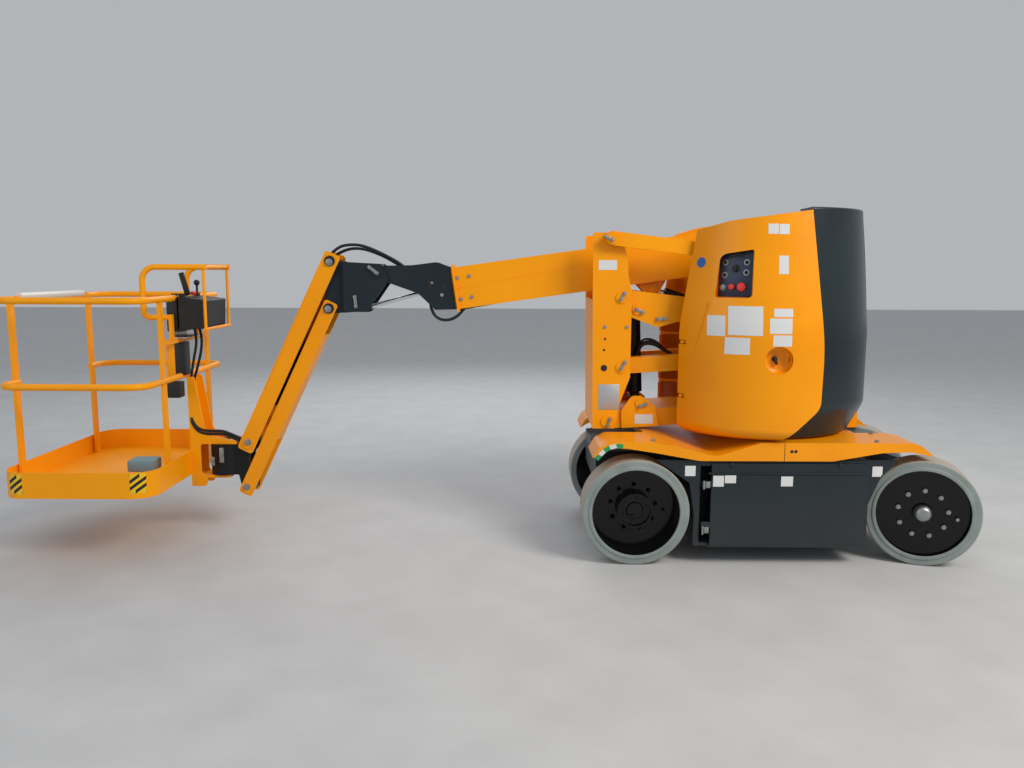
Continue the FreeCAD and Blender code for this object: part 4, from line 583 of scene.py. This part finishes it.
addBlock(foil, panelFrame @ Matrix.Translation((0.006, 0.004, -panel["sunk"])),
         (panel["wide"] - 0.03, panel["high"] - 0.03, 0.008), 0.003)
finishPiece("panel_foil", foil, "panelFoil", "hood_near")
top = -panel["sunk"] + 0.008
knobs = bmesh.new()
addRound(knobs, panelFrame @ Matrix.Translation((0.004, 0.028, top)), 0.021, 0.006, 32, soft=0.002)
addBlock(knobs, panelFrame @ Matrix.Translation((0.004, 0.028, top + 0.006)),
         (0.012, 0.036, 0.014), 0.003)
for x, y in ((-0.058, 0.062), (0.062, 0.062), (-0.058, -0.008), (0.062, 0.006)):
    addRound(knobs, panelFrame @ Matrix.Translation((x, y, top)), 0.011, 0.004, 24, soft=0.001)
    addRound(knobs, panelFrame @ Matrix.Translation((x, y, top + 0.004)), 0.005, 0.014, 16,
             topRadius=0.004, soft=0.002)
addBlock(knobs, panelFrame @ Matrix.Translation((0.0, 0.104, top)), (0.09, 0.03, 0.003), 0.001)
finishPiece("panel_knobs", knobs, "mouldedBlackPlastic", "hood_near")
rings = bmesh.new()
for x, y in ((-0.058, 0.062), (0.062, 0.062), (-0.058, -0.008), (0.062, 0.006), (-0.066, -0.076)):
    addRound(rings, panelFrame @ Matrix.Translation((x, y, top)), 0.017, 0.002, 32, soft=0.0005)
addRound(rings, panelFrame @ Matrix.Translation((-0.066, -0.076, top + 0.002)),
         0.009, 0.010, 24, soft=0.002)
finishPiece("panel_rings", rings, "zincPlatedSteel", "hood_near")
buttons = bmesh.new()
for x, y, radius in ((-0.012, -0.074, 0.016), (0.044, -0.074, 0.024)):
    addRound(buttons, panelFrame @ Matrix.Translation((x, y, top)), radius * 0.6, 0.012, 24)
    addRound(buttons, panelFrame @ Matrix.Translation((x, y, top + 0.012)),
             radius, 0.012, 32, soft=0.004)
finishPiece("panel_buttons", buttons, "redPlastic", "hood_near")

# hood latches in round dishes, and the fold beside the panel
latch = {"x": -0.080, "z": 1.165, "radius": 0.0745, "deep": 0.040, "skin": 0.640}
for side, sign in sides.items():
    mouth = math.sqrt(latch["skin"] ** 2 - latch["x"] ** 2)
    dishFrame = facing(at(latch["x"], sign * (mouth - latch["deep"]), latch["z"]), (0, sign, 0))
    dish = bmesh.new()
    addRound(dish, dishFrame @ Matrix.Translation((0, 0, -0.003)), latch["radius"], 0.003, 48)
    ring = [dishFrame @ Vector((radius, 0, height)) for radius, height in (
        (latch["radius"] * 0.72, 0.0005), (latch["radius"] * 0.9, 0.006), (latch["radius"], 0.022),
        (latch["radius"], latch["deep"] - 0.002))]
    verts = [dish.verts.new(place) for place in ring]
    edges = [dish.edges.new(pair) for pair in zip(verts, verts[1:])]
    bmesh.ops.spin(dish, geom=verts + edges, cent=dishFrame.translation, steps=48,
                   axis=(0, sign, 0), angle=math.tau, use_merge=True)
    finishPiece("latch_dish_" + side, dish, "orangeGelCoat", "hood_" + side)
    handle = bmesh.new()
    base = dishFrame @ Matrix.Translation((-0.012, 0.004, 0.0))
    addRound(handle, base, 0.015, 0.010, 32, soft=0.002)
    addBlock(handle, base @ Matrix.Rotation(math.radians(18), 4, "Z") @ Matrix.Translation(
        (0, -0.006, 0.010)), (0.016, 0.05, 0.012), 0.004)
    finishPiece("latch_handle_" + side, handle, "mouldedBlackPlastic", "hood_" + side)
fold = {"low": (-0.492, 1.212), "high": (-0.428, 1.470), "steps": 7, "wide": 0.010, "proud": 0.005}
ridge = bmesh.new()
for step in range(fold["steps"]):
    share = step / fold["steps"]
    low = [a + (b - a) * share for a, b in zip(fold["low"], fold["high"])]
    high = [a + (b - a) * (share + 1 / fold["steps"]) for a, b in zip(fold["low"], fold["high"])]
    middle = at((low[0] + high[0]) / 2, -0.9, (low[1] + high[1]) / 2)
    along = Vector((high[0] - low[0], 0, high[1] - low[1]))
    addSkin(ridge, "hood_near", facing(middle, (0, -1, 0), along),
            fold["wide"] * (0.4 + share * 0.6), along.length * 1.04,
            fold["proud"] * (0.25 + share * 0.75), (1, 3))
finishPiece("hood_fold", ridge, "orangeGelCoat", "hood_near", 60)
print("hoods fitted")

# mast: bent keeper plates with their bolts on the pin ends: (x, z, y of the pin end, body, tilt)
keepers = [
    (-0.961, 1.820, 0.3075, "mid_post", 155), (-0.886, 1.485, 0.2605, "mid_post", 60),
    (-0.877, 1.082, 0.2605, "mid_post", 60), (-0.953, 0.742, 0.2605, "mid_post", 70),
    (-0.787, 1.414, 0.2275, "upper_arm", -25), (-0.660, 1.362, 0.2275, "upper_arm", 5),
    (-0.754, 0.845, 0.2205, "lower_arm", 20),
]
keeper = {"long": 0.062, "wide": 0.016, "thick": 0.005, "bolt": 0.010}
for number, (x, z, y, body, tilt) in enumerate(keepers):
    plates = bmesh.new()
    for sign in (-1, 1):
        base = facing(at(x, sign * y, z), (0, sign, 0)) @ Matrix.Rotation(
            math.radians(tilt if sign < 0 else 180 - tilt), 4, "Z")
        addBlock(plates, base @ Matrix.Translation((0.012, 0, 0)),
                 (keeper["long"], keeper["wide"], keeper["thick"]), 0.0015)
        for reach in (-0.008, 0.032):
            addBolt(plates, base @ Matrix.Translation((reach, 0, keeper["thick"])), keeper["bolt"])
    finishPiece("pin_keeper_%d" % (number + 1), plates, "zincPlatedSteel", body)
mastTrim = {"bolts": ((-0.980, 1.316), (-0.852, 1.316)), "skin": 0.2527,
            "holeShades": ((-0.979, 1.246, 0.007), (-0.984, 1.181, 0.007), (-0.982, 1.075, 0.019))}
bolts = bmesh.new()
holeShades = bmesh.new()
for sign in (-1, 1):
    for x, z in mastTrim["bolts"]:
        addBolt(bolts, facing(at(x, sign * mastTrim["skin"], z), (0, sign, 0)), 0.009)
    # the holes in the posts are black discs: painted shade standing in for the dark hollow behind
    # each hole
    for x, z, radius in mastTrim["holeShades"]:
        addRound(holeShades, facing(at(x, sign * mastTrim["skin"], z), (0, sign, 0)), radius, 0.0008, 28)
finishPiece("mast_bolts", bolts, "zincPlatedSteel", "mid_post")
finishPiece("mast_hole_shades", holeShades, "mouldedBlackPlastic", "mid_post")
plate = bmesh.new()
plateFrame = facing(at(-0.951, -mastTrim["skin"], 0.903), (0, -1, 0))
addBlock(plate, plateFrame, (0.122, 0.152, 0.0015), 0.0005)
for x in (-0.052, 0.052):
    for z in (-0.067, 0.067):
        addRound(plate, plateFrame @ Matrix.Translation((x, z, 0.0015)),
                 0.004, 0.002, 12, soft=0.001)
finishPiece("data_plate", plate, "aluminiumPlate", "mid_post")
print("mast fitted:", len(keepers), "keepers")

# boom: flange bolts, the bend line along each side
boomTrim = {"skin": 0.0803,
            "bolts": ((-1.854, 1.595), (-1.782, 1.607), (-1.831, 1.469), (-1.764, 1.482))}
bolts = bmesh.new()
line = bmesh.new()
for sign in (-1, 1):
    for x, z in boomTrim["bolts"]:
        addBolt(bolts, facing(at(x, sign * boomTrim["skin"], z), (0, sign, 0)), 0.010)
    low, high = at(-1.858, sign * 0.5, 1.534), at(-1.085, sign * 0.5, 1.676)
    along = high - low
    addSkin(line, "boom_outer", facing((low + high) / 2, (0, sign, 0), along.cross((0, sign, 0))),
            along.length, 0.003, 0.0012, (24, 1))
finishPiece("boom_bolts", bolts, "zincPlatedSteel", "boom")
finishPiece("boom_bend_line", line, "orangePowderCoat", "boom")

# head and bracket: slot and hole as thin black pieces (painted shade of the openings), bolts,
# keepers
holeShades = bmesh.new()
bolts = bmesh.new()
for sign in (-1, 1):
    outward = (0, sign, 0)
    addBlock(holeShades, facing(at(-2.018, sign * boomTrim["skin"], 1.562), outward),
             (0.018, 0.058, 0.001))
    addRound(holeShades, facing(at(-1.930, sign * boomTrim["skin"], 1.547), outward), 0.015, 0.001, 24)
    addRound(bolts, facing(at(-2.004, sign * boomTrim["skin"], 1.566), outward), 0.008, 0.004, 16)
    addRound(bolts, facing(at(-1.945, sign * boomTrim["skin"], 1.493), outward),
             0.011, 0.006, 20, soft=0.002)
finishPiece("head_hole_shades", holeShades, "mouldedBlackPlastic", "inner_boom")
finishPiece("head_bolts", bolts, "zincPlatedSteel", "inner_boom")
plates = bmesh.new()
for sign in (-1, 1):
    for x, z, tilt, y in ((-2.352, 1.640, -38, 0.1045), (-2.463, 1.452, 95, 0.0975)):
        base = facing(at(x, sign * y, z), (0, sign, 0)) @ Matrix.Rotation(
            math.radians(tilt if sign < 0 else 180 - tilt), 4, "Z")
        addBlock(plates, base, (0.078, 0.018, 0.005), 0.0015)
        for reach in (-0.026, 0.026):
            addBolt(plates, base @ Matrix.Translation((reach, 0, 0.005)), 0.010)
finishPiece("bracket_keepers", plates, "zincPlatedSteel", "jib_bracket")

# jib: zinc end bolts
ends = [("jib_upper", -2.614, 1.687, 0.1025), ("jib_lower", -2.631, 1.407, 0.0875),
        ("jib_upper", -3.141, 0.592, 0.1025), ("jib_lower", -3.164, 0.305, 0.0875)]
for body in ("jib_upper", "jib_lower"):
    bolts = bmesh.new()
    for owner, x, z, y in ends:
        if owner == body:
            for sign in (-1, 1):
                base = facing(at(x, sign * y, z), (0, sign, 0))
                addRound(bolts, base, 0.021, 0.004, 28, soft=0.001)
                addBolt(bolts, base @ Matrix.Translation((0, 0, 0.004)), 0.013)
    finishPiece(body + "_bolts", bolts, "zincPlatedSteel", body)

# jib: raised cover strip along the upper beam's outer face; hoses over the bracket pin
strip = bmesh.new()
high, low = at(-2.702, 0, 1.610), at(-3.026, 0, 0.926)
outward = (high - low).cross((0, 1, 0)).normalized()
addBlock(strip, facing((low + high) / 2 - outward * 0.005, outward, high - low),
         (0.196, (high - low).length, 0.005), 0.001)
finishPiece("jib_cover_strip", strip, "orangePowderCoat", "jib_upper")
bracketHoses = {
    "a": (-0.020, [(-2.619, 1.736), (-2.582, 1.771), (-2.533, 1.790), (-2.454, 1.793),
                   (-2.382, 1.772), (-2.293, 1.731), (-2.203, 1.683), (-2.155, 1.641)]),
    "b": (0.030, [(-2.618, 1.718), (-2.556, 1.761), (-2.452, 1.776), (-2.331, 1.737),
                  (-2.222, 1.677), (-2.173, 1.641)]),
}
for name, (y, points) in bracketHoses.items():
    addHose("bracket_hose_" + name, [(x, y, z) for x, z in points], 0.009, "jib_bracket")
addHose("head_hose", [(x, -0.05, z) for x, z in (
    (-2.020, 1.504), (-2.020, 1.432), (-1.997, 1.371), (-1.955, 1.341), (-1.900, 1.341),
    (-1.851, 1.366), (-1.821, 1.402), (-1.790, 1.438))], 0.009, "inner_boom")
# black strip under the boom, made as a cable carrier: its black also stands in for the shade on the
# boom's underside (painted shade)
shadedUnderside = {"low": (-1.838, 1.410), "high": (-1.090, 1.545), "half": 0.060}
tray = bmesh.new()
low, high = (at(x, shadedUnderside["half"], z) for x, z in (shadedUnderside["low"], shadedUnderside["high"]))
addBlock(tray, facing((low + high) / 2, (0, -1, 0), (high - low).cross((0, -1, 0))),
         ((high - low).length, 0.018, shadedUnderside["half"] * 2), 0.002)
finishPiece("boom_underside_shade_strip", tray, "mouldedBlackPlastic", "boom")
print("boom and jib fitted")

# platform: blocks as (piece, finish, slot, x and z of two corners, y, width along Y, soft)
basketBlocks = [
    ("console_shell", "mouldedBlackPlastic", "black_plastic", -3.575, 1.272, -3.490, 1.476,
     0.000, 0.34, 0.010),
    ("document_tray", "aluminiumPlate", "zinc_steel", -3.569, 1.232, -3.470, 1.240,
     -0.020, 0.26, 0.002),
    ("document_lip", "aluminiumPlate", "zinc_steel", -3.571, 1.232, -3.566, 1.272,
     -0.020, 0.26, 0.001),
    ("support_plate", "yellowPowderCoat", "yellow_paint", -3.612, 0.985, -3.556, 1.200,
     -0.105, 0.005, 0.001),
    ("cable_box", "mouldedBlackPlastic", "black_plastic", -3.561, 0.999, -3.513, 1.202,
     -0.050, 0.12, 0.004),
    ("support_box", "mouldedBlackPlastic", "black_plastic", -3.580, 0.879, -3.505, 0.973,
     -0.160, 0.08, 0.004),
    ("foot_pedal", "pedalGrey", "black_plastic", -3.748, 0.475, -3.596, 0.545,
     -0.350, 0.13, 0.012),
]
for name, finish, slotName, left, low, right, high, y, wide, soft in basketBlocks:
    block = bmesh.new()
    addBlock(block, Matrix.Translation(at((left + right) / 2, y, low)),
             (right - left, wide, high - low), soft)
    finishPiece(name, block, finish, "basket")
stick = bmesh.new()
addRound(stick, Matrix.Translation(at(-3.456, 0.020, 1.488)), 0.020, 0.012, 24, topRadius=0.011)
addRound(stick, Matrix.Translation(at(-3.456, 0.020, 1.498)), 0.007, 0.055, 16)
bmesh.ops.create_uvsphere(stick, u_segments=24, v_segments=16, radius=0.018,
                          matrix=Matrix.Translation(at(-3.456, 0.020, 1.561)))
low, high = at(-3.474, -0.080, 1.486), at(-3.509, -0.080, 1.622)
addBlock(stick, facing(low, high - low, (0, 1, 0)), (0.030, 0.026, (high - low).length), 0.006)
finishPiece("console_levers", stick, "mouldedBlackPlastic", "basket")
stop = bmesh.new()
addRound(stop, Matrix.Translation(at(-3.463, -0.020, 1.486)), 0.010, 0.010, 24)
addRound(stop, Matrix.Translation(at(-3.463, -0.020, 1.496)), 0.018, 0.012, 32, soft=0.004)
finishPiece("console_stop", stop, "redPlastic", "basket")
basketCables = {
    "a": (-0.050, [(-3.456, 1.290), (-3.448, 1.240), (-3.449, 1.184), (-3.468, 1.104),
                   (-3.484, 1.017), (-3.501, 0.931)]),
    "b": (0.000, [(-3.446, 1.290), (-3.432, 1.240), (-3.438, 1.148), (-3.465, 1.049),
                  (-3.494, 0.961), (-3.510, 0.886)]),
}
for name, (y, points) in basketCables.items():
    addHose("basket_cable_" + name, [(x, y, z) for x, z in points], 0.008, "basket")
footHose = [(-3.494, 0.719), (-3.471, 0.656), (-3.400, 0.633), (-3.307, 0.638), (-3.246, 0.613),
            (-3.180, 0.583), (-3.153, 0.550)]
for number, rise in enumerate((0.0, 0.019)):
    addHose("foot_hose_%d" % (number + 1), [(x, -0.069, z + rise) for x, z in footHose],
            0.009, "jib_foot")
film = bmesh.new()
addRound(film, facing(at(-4.338, -0.350, 1.485), (0, 1, 0)), 0.024, 0.700, 28, soft=0.006)
finishPiece("gate_bar_film", film, "clearFilm", "gate_bar")
hazard = {"wide": 0.078, "high": 0.112, "places": ((-3.590, 0.467), (-4.265, 0.460)), "slope": 0.75,
          "bar": 0.020, "pitch": 0.038}
shear = Matrix(((1, 0, 0, 0), (hazard["slope"], 1, 0, 0), (0, 0, 1, 0), (0, 0, 0, 1)))
for finish in ("hazardYellow", "hazardBlack"):
    patch = bmesh.new()
    halfWide, halfHigh = hazard["wide"] / 2, (hazard["high"] - hazard["bar"]) / 2
    for x, z in hazard["places"]:
        for sign in (-1, 1):
            face = facing(at(x, sign * 0.9, z), (0, sign, 0))
            if finish == "hazardYellow":
                addSkin(patch, "basket_floor", face, hazard["wide"], hazard["high"], 0.0006, (4, 2))
                continue
            for step in range(-2, 3):
                rise = step * hazard["pitch"]
                left = max(-halfWide, (-halfHigh - rise) / hazard["slope"])
                right = min(halfWide, (halfHigh - rise) / hazard["slope"])
                middle = (left + right) / 2
                slant = face @ Matrix.Translation((
                    middle, rise + hazard["slope"] * middle, 0)) @ shear
                addSkin(patch, "basket_floor", slant, right - left, hazard["bar"], 0.0012, (4, 1))
    finishPiece("toe_board_" + finish, patch, finish, "basket")
fittings = bmesh.new()
for x, low, high, y, wide in (
        (-3.306, 0.462, 0.556, -0.090, 0.028), (-3.372, 0.436, 0.492, -0.060, 0.026)):
    addBlock(fittings, Matrix.Translation(at(x, y - 0.008, low)), (wide, 0.020, high - low), 0.004)
    addRound(fittings, facing(at(x, y - 0.016, (low + high) / 2), (0, -1, 0)),
             0.010, 0.014, 6, soft=0.001)
addBolt(fittings, facing(at(-3.222, -0.045, 0.440), (0, -1, 0)), 0.012)
finishPiece("rotator_fittings", fittings, "zincPlatedSteel", "jib_foot")
print("platform fitted")

# hoses between the arms of the mast, clipped along the lower link
mastHose = {"radius": 0.0065, "foot": 1.122, "path": [
    (-0.770, 0.0), (-0.764, 0.052), (-0.718, 0.102), (-0.650, 0.092), (-0.588, 0.038),
    (-0.520, 0.004), (-0.440, -0.014)],
    "rows": ((-0.110, 0.9), (-0.085, 1.0), (-0.060, 0.8), (-0.035, 1.1), (-0.012, 0.9))}
for number, (y, rise) in enumerate(mastHose["rows"]):
    points = [(x, y, mastHose["foot"] + z * rise) for x, z in mastHose["path"]]
    addHose("mast_hose_%d" % (number + 1), points, mastHose["radius"], "lower_link")

# pale studio floor
floor = {"half": 30.0, "pale": "#c4c6c8", "deep": "#bcbec0"}
material, tree, shader, place = newMaterial("paleFloor")
speck = addNode(tree, "ShaderNodeTexNoise", {"Vector": place, "Scale": 3.0, "Detail": 8.0})
setShader(tree, shader, Roughness=0.75, Specular_IOR_Level=0.2,
          Base_Color=rampOf(tree, speck.outputs["Fac"], [
              (0.3, floor["deep"]), (0.7, floor["pale"])]))
ground = bmesh.new()
bmesh.ops.create_grid(ground, x_segments=1, y_segments=1, size=floor["half"])
groundMesh = bpy.data.meshes.new("studioFloor")
ground.to_mesh(groundMesh)
ground.free()
groundItem = bpy.data.objects.new("studioFloor", groundMesh)
groundMesh.materials.append(material)
scene.collection.objects.link(groundItem)
print("stage ready")
